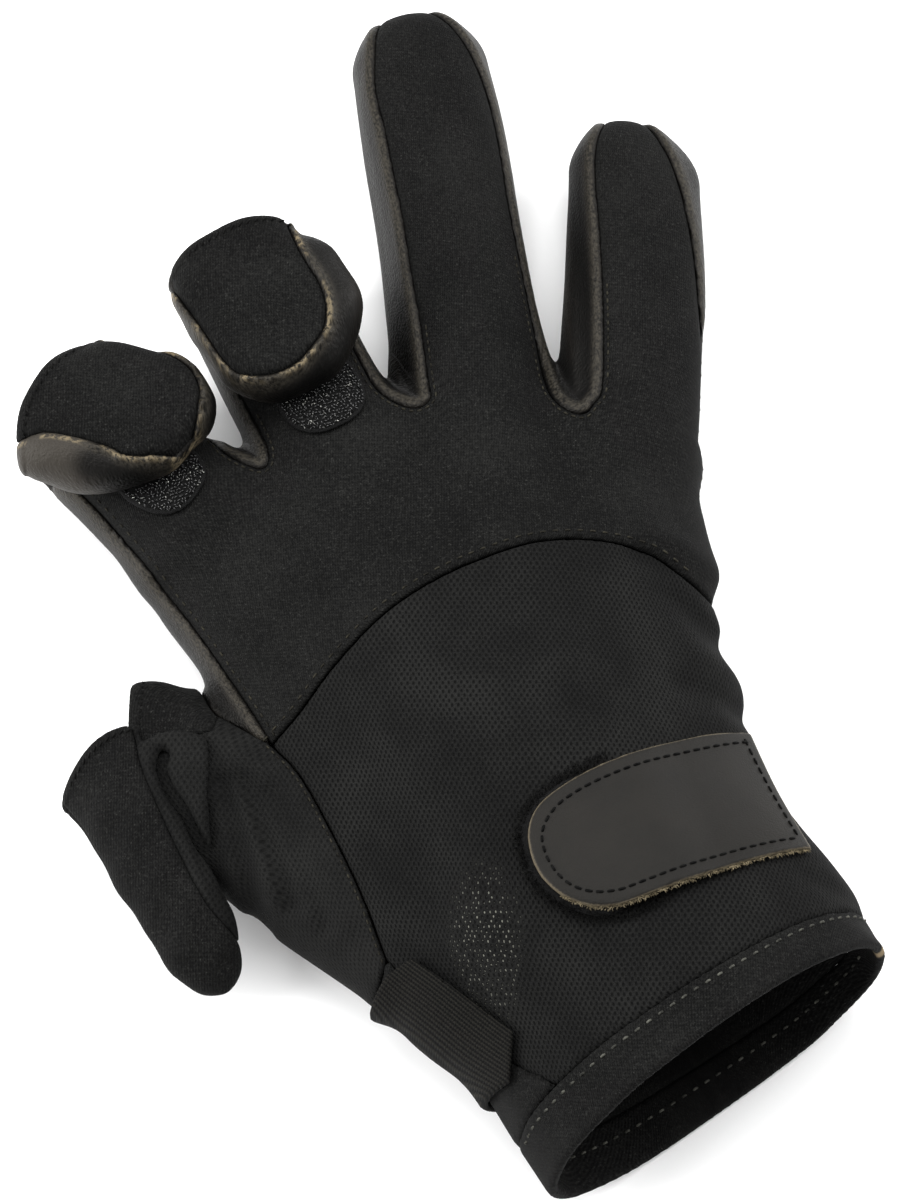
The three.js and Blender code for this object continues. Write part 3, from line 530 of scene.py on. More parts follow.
# %% Places on the fabric
def on_fabric(x, y, z):
    top = HAND["top"](y)
    middle = (HAND["left"](y) + HAND["right"](y)) / 2
    across = x + np.tanh((x - middle) / 6) * np.maximum(top - z, 0)
    for name in ("ring", "little", "middle", "index"):
        finger = FINGERS[name]
        along, side, up = finger_place(finger, x, y, z)
        near = fade(along, -4, 18) * (np.abs(side) < finger["root_width"] + 4)
        local = x + np.tanh(side / 4) * np.maximum(finger["root_height"] - up, 0)
        across = across + near * (local - across)
    return across, y, z


def on_leather(x, y, z):
    """Like the fabric, but the third number is the distance from the back's seam, where light and shade are
    painted.
    """
    return on_fabric(x, y, z)[0], y, outline_distance(BACK_OUTLINE, x, y)[0]


further = float(on_fabric(50.0, 0, 20)[0] - on_fabric(50.0, 0, 24)[0])
print("a point 4 mm lower on the hand's side lies", round(further, 1), "mm further out on the fabric")

# %% [markdown]
# On the real glove a panel is cut flat and sewn into shape. Here each panel is a region of one finished form:
# inside an outline of the plan, above or below the seam along the side, or near the cuff's mouth. The small
# wedges of leather between the fingers reach from the middle line of one finger to that of the next.

# %% Regions of the panels
SIDE_SEAM_Z = 12
HEM_WIDTH = 9.5
GUSSET_LOW, LEATHER_LOW = 10, 5.5
PAD_LOW, PAD_HIGH = math.radians(-150), math.radians(42)
PAD_START = 0.42


def back_region(x, y, z, level):
    return np.maximum(outline_distance(BACK_OUTLINE, x, y)[0], SIDE_SEAM_Z - z)


def hem_region(x, y, z, level):
    return level - MOUTH_LEVEL - HEM_WIDTH


def wrist_region(x, y, z, level):
    return np.maximum(outline_distance(WRIST_OUTLINE, x, y)[0], SIDE_SEAM_Z - z)


def thumb_pad_region(x, y, z, level):
    """The wedge of the thumb's tube between two directions from its middle, and all of the stub's top."""
    along, side, up = finger_place(FINGERS["thumb"], x, y, z)
    wedge = np.minimum(math.cos(PAD_HIGH) * (up + 1) - math.sin(PAD_HIGH) * side,
                       math.sin(PAD_LOW) * side - math.cos(PAD_LOW) * (up + 1))
    wedge = np.maximum(wedge, PAD_START * FINGERS["thumb"]["length"] - along)
    wedge = np.minimum(wedge, outline_distance(STUB_OUTLINE, x, y)[0])
    return np.maximum(wedge, outline_distance(BEYOND_CROTCH, x, y)[0])


def gusset_region(x, y, z, level):
    return np.maximum(outline_distance(GUSSET_OUTLINE, x, y)[0], GUSSET_LOW - z)


def between(left, right):
    """The leather between two fingers: from the middle line of one to that of the other."""
    def axis(finger, share):
        t = share * finger["length"]
        lean = math.radians(finger["lean"])
        drift = math.radians(finger["bend"]) * t * t / (2 * finger["length"])
        return (finger["x"] + math.sin(lean) * t + math.cos(lean) * drift,
                finger["y"] + math.cos(lean) * t - math.sin(lean) * drift)

    roots = [axis(finger, 0.06) for finger in (left, right)]
    base = min(root[1] for root in roots) - 3.5
    outline = [(roots[0][0], base), (roots[1][0], base)]
    outline += [axis(right, share) for share in (0.25, 0.6, 1.15)]
    outline += [axis(left, share) for share in (1.15, 0.6, 0.25)]
    outline = np.array(outline)

    def region(x, y, z, level):
        return np.maximum(outline_distance(outline, x, y)[0], LEATHER_LOW - z)
    return region


def under_wrist_region(x, y, z, level):
    return outline_distance(UNDER_WRIST_OUTLINE, x, y)[0]


index_middle = between(FINGERS["index"], FINGERS["middle"])
middle_ring = between(FINGERS["middle"], FINGERS["ring"])
ring_little = between(FINGERS["ring"], FINGERS["little"])
CUTS = [hem_region, back_region, wrist_region, thumb_pad_region, gusset_region, index_middle, middle_ring,
        ring_little, under_wrist_region]
print(len(CUTS), "regions, and the palm takes what they leave")

# %% [markdown]
# All sewn panels are cut from one hollow form. A panel takes the part of the wall inside its own region and
# leaves out what earlier panels took. Both edges of a seam are rounded, so the seam becomes the small groove
# that sewn foam shows. The edges pass each other by a hair, so that no light shines through. Leather is
# turned at the seam, and stands up there in a thin bead with a shallow valley behind it. Small panels and
# leather get a finer grid than the broad ones, which keeps the whole glove under a million triangles.

# %% Sewn panels
GAP = -0.3
BEAD = {"at": 1.5, "width": .95}
VALLEY = {"at": 4.2, "width": 1.5, "share": 0.7}
END_ROUND = 1.2


def panel(region, earlier, soft, bead):
    """The field of a panel: its region of the wall, without the regions that earlier panels took."""
    def field(x, y, z):
        form, level = glove_form(x, y, z)
        taken = [other(x, y, z, level) for other in earlier]
        if bead:
            edge = np.abs(taken[CUTS.index(back_region)])
            form = form - bead * np.exp(-((edge - BEAD["at"]) / BEAD["width"]) ** 2)
            form = form + VALLEY["share"] * bead * np.exp(-((edge - VALLEY["at"]) / VALLEY["width"]) ** 2)
        wall = np.maximum(form, -(form + WALL))
        result = both(wall, open_ends(x, y, z, level), END_ROUND)
        if region is not None:
            result = both(result, region(x, y, z, level), soft)
        for other in taken:
            result = both(result, GAP - other, soft)
        return result
    return field


PIECES = {}
for name, region, low, high, step, soft, bead in [
    ("cuff_hem", hem_region, (-36, -126, -1), (86, -78, 50), .65, .8, 0),
    ("back_panel", back_region, (-84, -28, 8), (80, 132, 42), .78, 1.3, 0),
    ("wrist_panel", wrist_region, (-50, -124, 8), (84, 6, 50), .78, 1.2, 0),
    ("thumb_pad", thumb_pad_region, (-76, -56, -2), (-44, 14, 34), .6, 1.2, 0),
    ("thumb_gusset", gusset_region, (-80, -84, 6), (-30, 16, 38), .6, 1.2, 0),
    ("fourchette_index_middle", index_middle, (-72, 22, 2), (2, 86, 32), .55, .8, .5),
    ("fourchette_middle_ring", middle_ring, (-26, 26, 2), (38, 134, 32), .55, .8, .6),
    ("fourchette_ring_little", ring_little, (8, 18, 2), (76, 134, 32), .55, .8, .6),
    ("under_wrist_panel", under_wrist_region, (-52, -124, -2), (84, -56, 50), 1, 1.2, 0),
    ("palm_panel", None, (-84, -74, -2), (84, 134, 36), .9, 1.2, .5),
]:
    earlier = CUTS[:CUTS.index(region)] if region is not None else CUTS
    cloth = on_leather if bead else on_fabric
    PIECES[name] = carve(name, low, high, step, panel(region, earlier, soft, bead), cloth)

# %% [markdown]
# The index and middle fingertips are hoods that fold back: each is a pouch of knit and leather that hinges on
# the finger's back, so that its palm side shows. Two outlines in the plan say all about it: that of the whole
# pouch, and that of its knit face. The mouth, an arched line across the pouch, is left open. Puckers and the
# raised rim run between two places on the face's outline, counted in millimetres from its first point.

# %% Patterns of the folded hoods
HOODS = {
    "index": {
        "outline": [(-90, 63), (-78.6, 54.5), (-77.2, 50.6), (-75.4, 47.2), (-71.6, 43.9), (-66.4, 40.6),
                    (-60, 38.8), (-54, 38), (-47.5, 39), (-42, 41.5), (-36.8, 45), (-34.3, 49.5),
                    (-34.2, 53.5), (-35, 57.5), (-38, 61.2), (-42.6, 64.4), (-47.5, 67.2), (-53, 69.6),
                    (-58, 71.2), (-70, 84)],
        "face": [(-82, 58), (-76, 52.6), (-69, 51.5), (-64, 49), (-57.5, 45), (-55.5, 42.8), (-52.5, 41.5),
                 (-49.5, 41), (-46, 40.5), (-43, 41.5), (-40, 44.5), (-38, 48.5), (-36.8, 52), (-37.2, 56.5),
                 (-40, 61), (-44.5, 65), (-49, 67.5), (-55, 69.6), (-59, 71), (-66, 78)],
        "mouth": (-69.2, 62.3), "heading": 133, "arch": .0199, "middle": 32.6, "half": 6.9, "round": 6.2,
        "carrier": "index", "puckers": (28, 66), "rim": (24, 78),
    },
    "middle": {
        "outline": [(-40, 96), (-36.6, 78), (-36.4, 73), (-35.4, 68), (-34, 62.5), (-33, 58.5), (-31.5, 54),
                    (-28.5, 50), (-24.5, 47.8), (-19.5, 47), (-14.5, 47.6), (-10, 49), (-5.5, 52.2),
                    (-2.7, 55.5), (-1, 58.8), (0.2, 61.8), (0.4, 65.5), (-0.4, 70.2), (-2.1, 74.6),
                    (-4.8, 78.1), (-7.6, 80.6), (-9, 86), (-9, 98)],
        "face": [(-36.6, 90), (-36, 77), (-35, 72), (-33.5, 67), (-32, 61), (-30.4, 56), (-28.5, 52.6),
                 (-25, 50.6), (-21.5, 50), (-17.5, 50.7), (-14.5, 52), (-11, 54.5), (-9, 57), (-7.6, 61),
                 (-7.5, 65.5), (-8.5, 69.5), (-9.3, 74), (-9.6, 78), (-9.6, 84), (-10, 96)],
        "mouth": (-21, 84.5), "heading": 174, "arch": .017, "middle": 33.4, "half": 7.1, "round": 6.2,
        "carrier": "middle", "puckers": (37, 66), "rim": (16, 90),
    },
}
for hood in HOODS.values():
    for line in ("outline", "face"):
        hood[line] = curve_through(hood[line], 3)
print("the middle hood is", round(float(np.ptp(HOODS["middle"]["face"][:, 0])), 1), "mm wide across its face")


def past_mouth(hood, x, y):
    """Above zero beyond the arched line where the hood is open."""
    heading = math.radians(hood["heading"])
    dx, dy = x - hood["mouth"][0], y - hood["mouth"][1]
    across = dx * math.cos(heading) - dy * math.sin(heading)
    return hood["arch"] * across ** 2 - dx * math.sin(heading) - dy * math.cos(heading)


def mouth_line(hood, inset, start, stop):
    """The line that runs beside the mouth, inside the hood."""
    heading = math.radians(hood["heading"])
    across = np.linspace(start, stop, 40)
    inward = hood["arch"] * across ** 2 + inset
    return np.stack([hood["mouth"][0] + inward * math.sin(heading) + across * math.cos(heading),
                     hood["mouth"][1] + inward * math.cos(heading) - across * math.sin(heading)], 1)


# %% [markdown]
# A pouch could be two sheets blown up like a balloon, but then its rim would be sharp. The outline in the
# plan is inflated by formula: near the outline the form curls over, and in the middle it is almost flat. A
# second pouch, drawn in by the wall's thickness, hollows it.

# %% Forms of the folded hoods
HOOD_WALL = 1.8
MOUTH_ROUND = 8


def hood_pouch(hood, x, y, z, less):
    """The inflated outline, drawn in by a distance."""
    distance, _ = outline_distance(hood["outline"], x, y)
    distance = both(distance, past_mouth(hood, x, y) - 3 - less, MOUTH_ROUND)
    half, turn = hood["half"] - less, hood["round"] - less
    dome = 0.9 * (1 - np.clip(-distance / 15, 0, 1)) ** 2
    lying = np.maximum(distance + less + turn, 0) / turn
    standing = np.abs(z - hood["middle"] + dome * (z > hood["middle"])) / half
    return ((lying ** 2.2 + standing ** 2.4 + 1e-6) ** (1 / 2.3) - 1) * turn


def hood_skin(hood, x, y, z, less=0.0):
    """The pouch with its ripples. The outside also has the turned hem of the mouth."""
    ripple = 0.22 * np.sin(x * .43 + y * .3) + 0.16 * np.sin(y * .5 - x * .2 + z * .3)
    hem = 0.0 if less else 0.3 * fade(past_mouth(hood, x, y), -2.4, -1.9)
    return hood_pouch(hood, x, y, z, less) - hem + ripple


def finger_roots_form(x, y, z):
    """What the hoods lie on: the hand with the roots of the two open fingers."""
    form, _ = hand_form(x, y, z)
    for name in ("index", "middle"):
        form = either(form, finger_form(FINGERS[name], x, y, z), 5)
    return form


where = [float(hood_pouch(HOODS["index"], -55, 55, z, 0)) for z in (20, 32, 45)]
print("below, in and above the index hood:", [round(value, 1) for value in where])

# %% [markdown]
# Each hood is carved twice from the same pouch: once for the knit face and once for the leather around it.
# The leather is gathered where it meets the face, so the bead along that seam swells and sinks by two waves
# that don't repeat together. Below, the pouch keeps off the finger, except where it is hinged to it.

# %% Folded hoods
CLEARANCE = 1.7
HINGE_DROP = 1.3
RIM_BEAD = {"height": 0.5, "at": .95, "width": .6}


def hood_field(hood, want_face):
    finger = FINGERS[hood["carrier"]]

    def field(x, y, z):
        share = finger_place(finger, x, y, z)[0] / finger["length"]
        clearance = CLEARANCE - HINGE_DROP * fade(share, 0.8, 0.92)
        under = finger_roots_form(x, y, z)
        beyond = past_mouth(hood, x, y)
        sideways, run = outline_distance(hood["face"], x, y)
        face = np.maximum(sideways, hood["middle"] + 1.5 - z)
        (first, last), (start, stop) = hood["puckers"], hood["rim"]
        gathers = fade(run, first, first + 4) * (1 - fade(run, last - 4, last))
        puckers = 1 + gathers * (0.55 * np.cos(run * 2.3) + 0.45 * np.cos(run * 1.45 + 2))
        rim = fade(run, start, start + 4) * (1 - fade(run, stop - 4, stop))
        bead = RIM_BEAD["height"] * np.exp(-((sideways - RIM_BEAD["at"]) / RIM_BEAD["width"]) ** 2)
        bead = bead * rim * puckers * fade(z, hood["middle"], 36)
        outer = both(hood_skin(hood, x, y, z), clearance - under, 1.5)
        inner = both(hood_skin(hood, x, y, z, HOOD_WALL), clearance + HOOD_WALL - under, 1)
        if not want_face:
            outer = outer - bead
        form = both(np.maximum(outer, -inner), beyond, 1.2)
        return both(form, face if want_face else GAP - face, 1.3)
    return field


def hood_place(name, part):
    """Places on a hood. On its leather, the third number is the distance from the knit face's seam."""
    def place(x, y, z):
        return x, y - z, outline_distance(HOODS[name]["face"], x, y)[0] if part == "side" else z
    return place


for name, low, high in [("index", (-80, 30, 20), (-30, 76, 42)), ("middle", (-40, 42, 20), (4, 90, 43))]:
    for part in ("face", "side"):
        piece, field = f"{name}_hood_{part}", hood_field(HOODS[name], part == "face")
        PIECES[piece] = carve(piece, low, high, .4, field, hood_place(name, part))

# %% [markdown]
# The thumb's hood is a long tongue that hangs over the side of the hand, so it is rolled outwards. A strip of
# mesh knit joins it to the back of the thumb, and folds up into an ear beside the tongue's mouth. The tongue
# is a tapering tube like a finger, and the ear is an outline with a rounded crest and one deep valley.

# %% Patterns of the thumb hood
THUMB_HOOD = table("along width height z roll", [
    (-6, 12.6, 5.4, 18.8, 34), (0, 11.7, 5.5, 19, 34), (12, 10.4, 6, 19.5, 37), (24, 10, 6.2, 19, 38),
    (36, 9.1, 6, 17, 36), (45.5, 7.4, 5.4, 14.8, 31), (49.5, 5.4, 4.2, 13.2, 27), (52.5, 2.4, 2.2, 12.5, 24),
])
THUMB_HOOD_AT = (-77.2, -10.4)
THUMB_HOOD_HEADING = math.radians(167.7)
THUMB_HOOD_END = 52.8
THUMB_MOUTH = {"top": -1.7, "arch": .03, "centre": -2.5}
THUMB_MOUTH_SPAN = (-7.4, 7.6)
TONGUE_SEAM = flowing((-64, -57, -54, -51, -43.6, -37.5, -31.4, -25.3, -19.3, -12.7, -4),
                      (-54, -58.5, -60.8, -62.8, -65.7, -66.8, -67.8, -68.6, -69.1, -69, -69.2))
EAR_OUTLINE = curve_through([(-69.4, -13), (-65.6, -11.2), (-61.8, -11.2), (-58.1, -12.6), (-54.9, -15.2),
                             (-55.6, -19.8), (-57.6, -25.7), (-59.6, -31.7), (-60.6, -37.2), (-60.6, -42.8),
                             (-60.8, -46.4), (-62.2, -49.4), (-64, -49), (-65.9, -43.6),
                             (-67, -37.5), (-68, -31.4), (-68.8, -25.3), (-69.4, -19.3)], 3)
EAR_CREST = flowing((-60, -50, -40, -30, -20, -10), (20.5, 24, 26.6, 28, 28.6, 28.4))
EAR_VALLEY = [(-64.7, -16.3), (-66.1, -18.9), (-65.9, -22.9), (-64.7, -27.7), (-63.9, -31.8), (-63.1, -35.4),
              (-62.7, -40.8), (-62.1, -46.3), (-61.4, -51)]
print("the tongue is", THUMB_HOOD_END - THUMB_MOUTH["top"], "mm long")

# %% [markdown]
# The tongue is first laid straight, which makes its section a simple oval, and its mouth a shallow arch.
# Where it rests on the thumb, the thumb's own form is cut away from it, so the two touch without passing
# through.

# %% Thumb hood
EAR = {"edge": 2, "half": 5.5, "valley": 1.3, "join": 1.2}


def along_lines(points, x, y):
    return np.minimum.reduce([near_line(x, y, *a, *b) for a, b in zip(points, points[1:])])


def thumb_hood_plan(x, y):
    """How far along the tongue a point lies, and how far to its side."""
    sine, cosine = math.sin(THUMB_HOOD_HEADING), math.cos(THUMB_HOOD_HEADING)
    dx, dy = x - THUMB_HOOD_AT[0], y - THUMB_HOOD_AT[1]
    return dx * sine + dy * cosine, dx * cosine - dy * sine


def thumb_mouth(side):
    """How far along the tongue its arched mouth lies."""
    return THUMB_MOUTH["top"] + THUMB_MOUTH["arch"] * (side - THUMB_MOUTH["centre"]) ** 2


def thumb_mouth_line(inset):
    sine, cosine = math.sin(THUMB_HOOD_HEADING), math.cos(THUMB_HOOD_HEADING)
    side = np.linspace(*THUMB_MOUTH_SPAN, 40)
    along = thumb_mouth(side) + inset
    return np.stack([THUMB_HOOD_AT[0] + along * sine + side * cosine,
                     THUMB_HOOD_AT[1] + along * cosine - side * sine], 1)


def thumb_hood_skin(x, y, z, less=0.0):
    along, side = thumb_hood_plan(x, y)
    up, roll = z - THUMB_HOOD["z"](along), np.radians(THUMB_HOOD["roll"](along))
    ripple = 0.22 * np.sin(along * .35 + side * .3) + 0.14 * np.sin(along * .62 - side * .5)
    hem = 0.0 if less else 0.3 * (1 - fade(along - thumb_mouth(side), 1.9, 2.4))
    return oval(side * np.cos(roll) - up * np.sin(roll), side * np.sin(roll) + up * np.cos(roll),
                THUMB_HOOD["width"](along) - less, THUMB_HOOD["height"](along) - less, 2.2) + ripple - hem


def thumb_hood_field(want_face):
    def field(x, y, z):
        along, side = thumb_hood_plan(x, y)
        outer = both(thumb_hood_skin(x, y, z), along - THUMB_HOOD_END, 3)
        inner = both(thumb_hood_skin(x, y, z, HOOD_WALL), along - THUMB_HOOD_END + 4, 2)
        form = both(np.maximum(outer, -inner), thumb_mouth(side) - along, 1.4)
        face = np.maximum(0.98 * (x - TONGUE_SEAM(y)), THUMB_HOOD["z"](along) - 3 - z)
        if want_face:
            form = both(form, face, 1.3)
        else:
            form = both(form, GAP - face, 1.3)
            distance, _ = outline_distance(EAR_OUTLINE, x, y)
            lying = np.maximum(distance + EAR["edge"], 0) / EAR["edge"]
            standing = np.abs(z - EAR_CREST(y) + EAR["half"]) / EAR["half"]
            depth = 2 + 2.2 * fade(-y, 18, 34)
            ear = ((lying ** 2 + standing ** 2.4 + 1e-6) ** .45 - 1) * 3
            ear = ear + depth * np.exp(-(along_lines(EAR_VALLEY, x, y) / EAR["valley"]) ** 2)
            form = either(form, both(ear, GAP - face, .8), EAR["join"])
        under = np.maximum(glove_form(x, y, z)[0], past_stub(x, y))
        return both(both(form, 0.3 - under, 1), 1 - z, 1)
    return field


for part in ("face", "back"):
    piece = f"thumb_hood_{part}"
    PIECES[piece] = carve(piece, (-92, -68, 4), (-52, -4, 32), .45, thumb_hood_field(part == "face"))

# %% [markdown]
# A leather strap with a round end closes the cuff over a patch of fuzzy loop fabric. A ribbed elastic tab
# draws the thumb's side of the wrist together, and patches of hook fabric on two finger roots hold the hoods.
# All are flat pieces cut with shears, so an outline in the plan says what they are.

# %% Outlines of the strap, tab and patches
STRAP_OUTLINE = np.vstack([curve_through([
    (42, -47), (34, -47), (25, -47.5), (14, -48.6), (6, -50.4), (0, -53), (-3.2, -57), (-4.2, -62),
    (-3.6, -67), (-1, -71.8), (3, -75.2), (8, -76.8), (14, -76.6), (28, -75.4), (42, -74.4)], 4, False),
    [(48.8, -74), (47.2, -60), (45.9, -47)]])
LOOP_OUTLINE = curve_through([(13, -52), (8, -48.8), (0, -51.4), (-4.4, -55.6), (-5.6, -62), (-4.8, -68),
                              (-1.6, -73.4), (4, -77.4), (9.4, -77.6), (14, -73)], 4)
TAB_OUTLINE = np.array([(-31, -71.4), (-24.4, -81.2), (-17.2, -91.8), (-20.4, -100), (-36, -100), (-47, -90),
                        (-43, -77), (-36.6, -72.2)])
PATCH_COLUMNS = ("x", "y", "lean", "half_length", "half_width")
PATCHES = {"index": dict(zip(PATCH_COLUMNS, (-48.8, 41.2, -42, 9, 8.3))),
           "middle": dict(zip(PATCH_COLUMNS, (-13.3, 49, -9, 9.6, 9)))}


def patch_outline(x, y, lean, half_length, half_width):
    turn = np.linspace(0, 2 * math.pi, 32, endpoint=False)
    across = half_width * np.sign(np.cos(turn)) * np.abs(np.cos(turn)) ** .8
    along = half_length * np.sign(np.sin(turn)) * np.abs(np.sin(turn)) ** .8
    lean = math.radians(lean)
    return np.stack([x + across * math.cos(lean) + along * math.sin(lean),
                     y - across * math.sin(lean) + along * math.cos(lean)], 1)


print("the strap is", round(float(np.ptp(STRAP_OUTLINE[:, 1])), 1), "mm wide")

# %% [markdown]
# Strap, tab and patches lie on the glove like skins on a skin. A shrinkwrap could pull flat sheets down, but
# it leaves them without thickness. Each one is the space between two distances from the hand, inside its own
# outline. Its place on the fabric holds the distance from its edge, so that the finish can show where the
# leather was cut.

# %% Strap, tab and patches
STRAP_DROP = 1.3
TAB_BULGE = 0.4


def wrist_form(x, y, z):
    return hand_form(x, y, z)[0]


def thumb_side_form(x, y, z):
    """The side of the wrist, where the elastic has drawn the cloth into a bulge."""
    bulge = TAB_BULGE * np.exp(-(near_line(x, y, -40, -80, -33, -88) / 6) ** 2)
    return either(hand_form(x, y, z)[0], finger_form(FINGERS["thumb"], x, y, z), 7) - bulge


def strap_form(x, y, z):
    """The wrist as the strap follows it: it comes down past the loop patch, where it is sewn on."""
    return wrist_form(x, y, z) + STRAP_DROP * fade(x, 20, 31)


def layer(form, outline, bottom, top, lowest, soft=0.7):
    def field(x, y, z):
        distance, _ = outline_distance(outline, x, y)
        sheet = np.abs(form(x, y, z) - (bottom + top) / 2) - (top - bottom) / 2
        return both(both(sheet, distance, soft), lowest - z, soft)
    return field


def edge_place(outline):
    return lambda x, y, z: (x, y, -outline_distance(outline, x, y)[0])


for name, form, outline, bottom, top, lowest, low, high, step in [
    ("wrist_strap", strap_form, STRAP_OUTLINE, 1.6, 3.4, 24, (-8, -80, 22), (55, -44, 50), .55),
    ("strap_loop_patch", wrist_form, LOOP_OUTLINE, .2, 1.5, 30, (-9, -81, 36), (24, -43, 48), .4),
    ("elastic_tab", thumb_side_form, TAB_OUTLINE, .35, 2, 5, (-48, -106, 3), (-14, -66, 40), .55),
    ("index_hook_patch", finger_roots_form, patch_outline(**PATCHES["index"]), .3, 1.3, 20, (-60, 28, 18),
     (-34, 54, 30), .35),
    ("middle_hook_patch", finger_roots_form, patch_outline(**PATCHES["middle"]), .3, 1.3, 20, (-24, 36, 18),
     (0, 61, 31), .35),
]:
    field = layer(form, outline, bottom, top, lowest)
    PIECES[name] = carve(name, low, high, step, field, edge_place(outline))

# %% [markdown]
# Stitches, hooks and loose fibres are all short bent tubes, thousands of them, joined into one piece per
# kind. Curves with a bevel would do too, but one mesh for each kind keeps the number of objects small. To lie
# on the glove, a point falls straight down until it meets the form.

# %% Threads and fibres
ABOVE_ALL = 58.0
FALL_STEPS = 60


def land(form, x, y):
    """The height at which a point that falls straight down meets a form."""
    z = np.full(np.shape(x), ABOVE_ALL)
    for _ in range(FALL_STEPS):
        z = z - np.clip(form(x, y, z), -1.0, 3.0) * 0.8
    return z


def tubes(name, lines, radius, sides=6, ends=0.35):
    """One piece of many closed tubes. lines has a row of points for each tube."""
    lines = np.asarray(lines, float)
    count, steps, _ = lines.shape
    ahead = np.gradient(lines, axis=1)
    ahead /= np.linalg.norm(ahead, axis=2, keepdims=True) + 1e-9
    first = np.cross(ahead, [0.31, 0.22, 0.92])
    first /= np.linalg.norm(first, axis=2, keepdims=True) + 1e-9
    second = np.cross(ahead, first)
    thick = np.full(steps, float(radius))
    thick[[0, -1]] *= ends
    turn = 2 * math.pi * np.arange(sides) / sides
    ring = np.cos(turn)[:, None] * first[:, :, None, :] + np.sin(turn)[:, None] * second[:, :, None, :]
    points = lines[:, :, None, :] + ring * thick[None, :, None, None]
    j = np.arange(sides)
    wall = np.stack([j, (j + 1) % sides, (j + 1) % sides + sides, j + sides], 1)
    faces = [wall + k * sides for k in range(steps - 1)]
    last = (steps - 1) * sides
    for k in range(1, sides - 1, 2):
        faces += [[(0, k + 2, k + 1, k)], [(last, last + k, last + k + 1, last + k + 2)]]
    every = (np.vstack(faces)[None] + (np.arange(count) * steps * sides)[:, None, None]).reshape(-1, 4)
    print(f"{name}: {count} threads")
    return new_mesh(name, points.reshape(-1, 3), every)


def walk(line, pitch):
    """Evenly spaced points on a line, and the direction at each."""
    line = np.asarray(line, float)
    run = np.concatenate([[0], np.cumsum(np.linalg.norm(np.diff(line, axis=0), axis=1))])
    at = np.arange(0.0, run[-1], pitch)
    spot = np.stack([np.interp(at, run, line[:, k]) for k in range(line.shape[1])], 1)
    ahead = np.stack([np.interp(at + .3, run, line[:, k]) - np.interp(at - .3, run, line[:, k])
                      for k in range(line.shape[1])], 1)
    return spot, ahead / (np.linalg.norm(ahead, axis=1, keepdims=True) + 1e-9)


def stitch_lines(line, form, pitch, length, lift, slant=0.0):
    """A row of stitches that lie on a form along a line in the plan. Each dips into the cloth at its ends."""
    spot, ahead = walk(line, pitch)
    turn = math.radians(slant)
    ahead = ahead @ np.array([[math.cos(turn), math.sin(turn)], [-math.sin(turn), math.cos(turn)]])
    shares = np.array([-.5, -.32, 0, .32, .5])
    plan = spot[:, None, :] + ahead[:, None, :] * (shares * length)[None, :, None]
    z = land(form, plan[..., 0].ravel(), plan[..., 1].ravel()).reshape(plan.shape[:2])
    return np.concatenate([plan, (z + np.array([-.3, .04, lift, .04, -.3]))[..., None]], 2)


def moved(line, distance):
    """The line, moved to its left."""
    line = np.asarray(line, float)
    ahead = np.gradient(line, axis=0)
    ahead /= np.linalg.norm(ahead, axis=1, keepdims=True) + 1e-9
    return line + distance * np.stack([-ahead[:, 1], ahead[:, 0]], 1)


spots, _ = walk([(0, 0), (30, 40)], 2.5)
print("a seam of 50 mm takes", len(spots), "stitches of 2.5 mm")

# %% [markdown]
# Every seam that the photograph shows has its own row of stitches: fine ones along the leather, wider ones
# under the curved seam, a box of dark thread on the strap, and slanted ones along the mouth of each hood. A
# row is a line in the plan, a form to lie on, and the pitch, length and rise of its stitches.

# %% Rows of stitches
def skin_form(x, y, z):
    return glove_form(x, y, z)[0]


def open_curve(points):
    return curve_through(points, 6, False)


def hood_top(name):
    return lambda x, y, z: hood_skin(HOODS[name], x, y, z)


def lifted(form, height):
    return lambda x, y, z: form(x, y, z) - height


def patch_edge(patch):
    """A closed line 1 mm inside a hook patch."""
    inner = {key: patch[key] - 1 for key in ("half_length", "half_width")}
    line = patch_outline(**{**patch, **inner})
    return np.vstack([line, line[:1]])


STRAP_STITCHES = open_curve([
    (43.8, -49.4), (34, -49.9), (25, -50.3), (14, -51.4), (6, -53.2), (1.8, -55.4), (-.8, -58.4), (-1.6, -62),
    (-1, -66.4), (1, -70.2), (4.4, -72.8), (9, -74), (14, -73.8), (28, -72.6), (40, -71.9), (47, -71.6)])
ARC_LINE = open_curve(ARC_SEAM)
rows = {
    "seam_stitches": [
        stitch_lines(moved(ARC_LINE[:-8], 1.7), skin_form, 2.5, 1.3, .12),
        stitch_lines(moved(open_curve(LONG_SEAM), 1.2), skin_form, 2.3, 1.1, .1),
        stitch_lines(moved(open_curve(THUMB_SEAM), -1), skin_form, 1.6, .9, .1),
        *(stitch_lines(moved(open_curve(crotch), -1.1), skin_form, 1.7, 1, .1)
          for crotch in (CROTCH_MIDDLE, CROTCH_RING, CROTCH_INDEX)),
    ],
    "strap_stitches": [
        stitch_lines(STRAP_STITCHES, lifted(strap_form, 3.4), 2.1, 1.6, .15),
        stitch_lines([(44, -49.4), (45.4, -60), (47, -71.6)], lifted(strap_form, 3.4), 2.1, 1.6, .15),
    ],
    "patch_stitches": [
        stitch_lines(patch_edge(patch), lifted(finger_roots_form, 1.3), 1.6, 1.2, .12)
        for patch in PATCHES.values()
    ],
    "hood_stitches": [
        stitch_lines(mouth_line(HOODS["index"], 1.9, -11, 10), hood_top("index"), 1.9, 1.4, .1, 35),
        stitch_lines(mouth_line(HOODS["middle"], 1.9, -10, 11), hood_top("middle"), 1.7, 1.5, .1, 40),
        stitch_lines(thumb_mouth_line(1.6), thumb_hood_skin, 1.5, 1.1, .1, 30),
        stitch_lines([(-64.2, 1.4), (-67.6, -8.5)], skin_form, 1.4, 1, .1, 30),
    ],
}
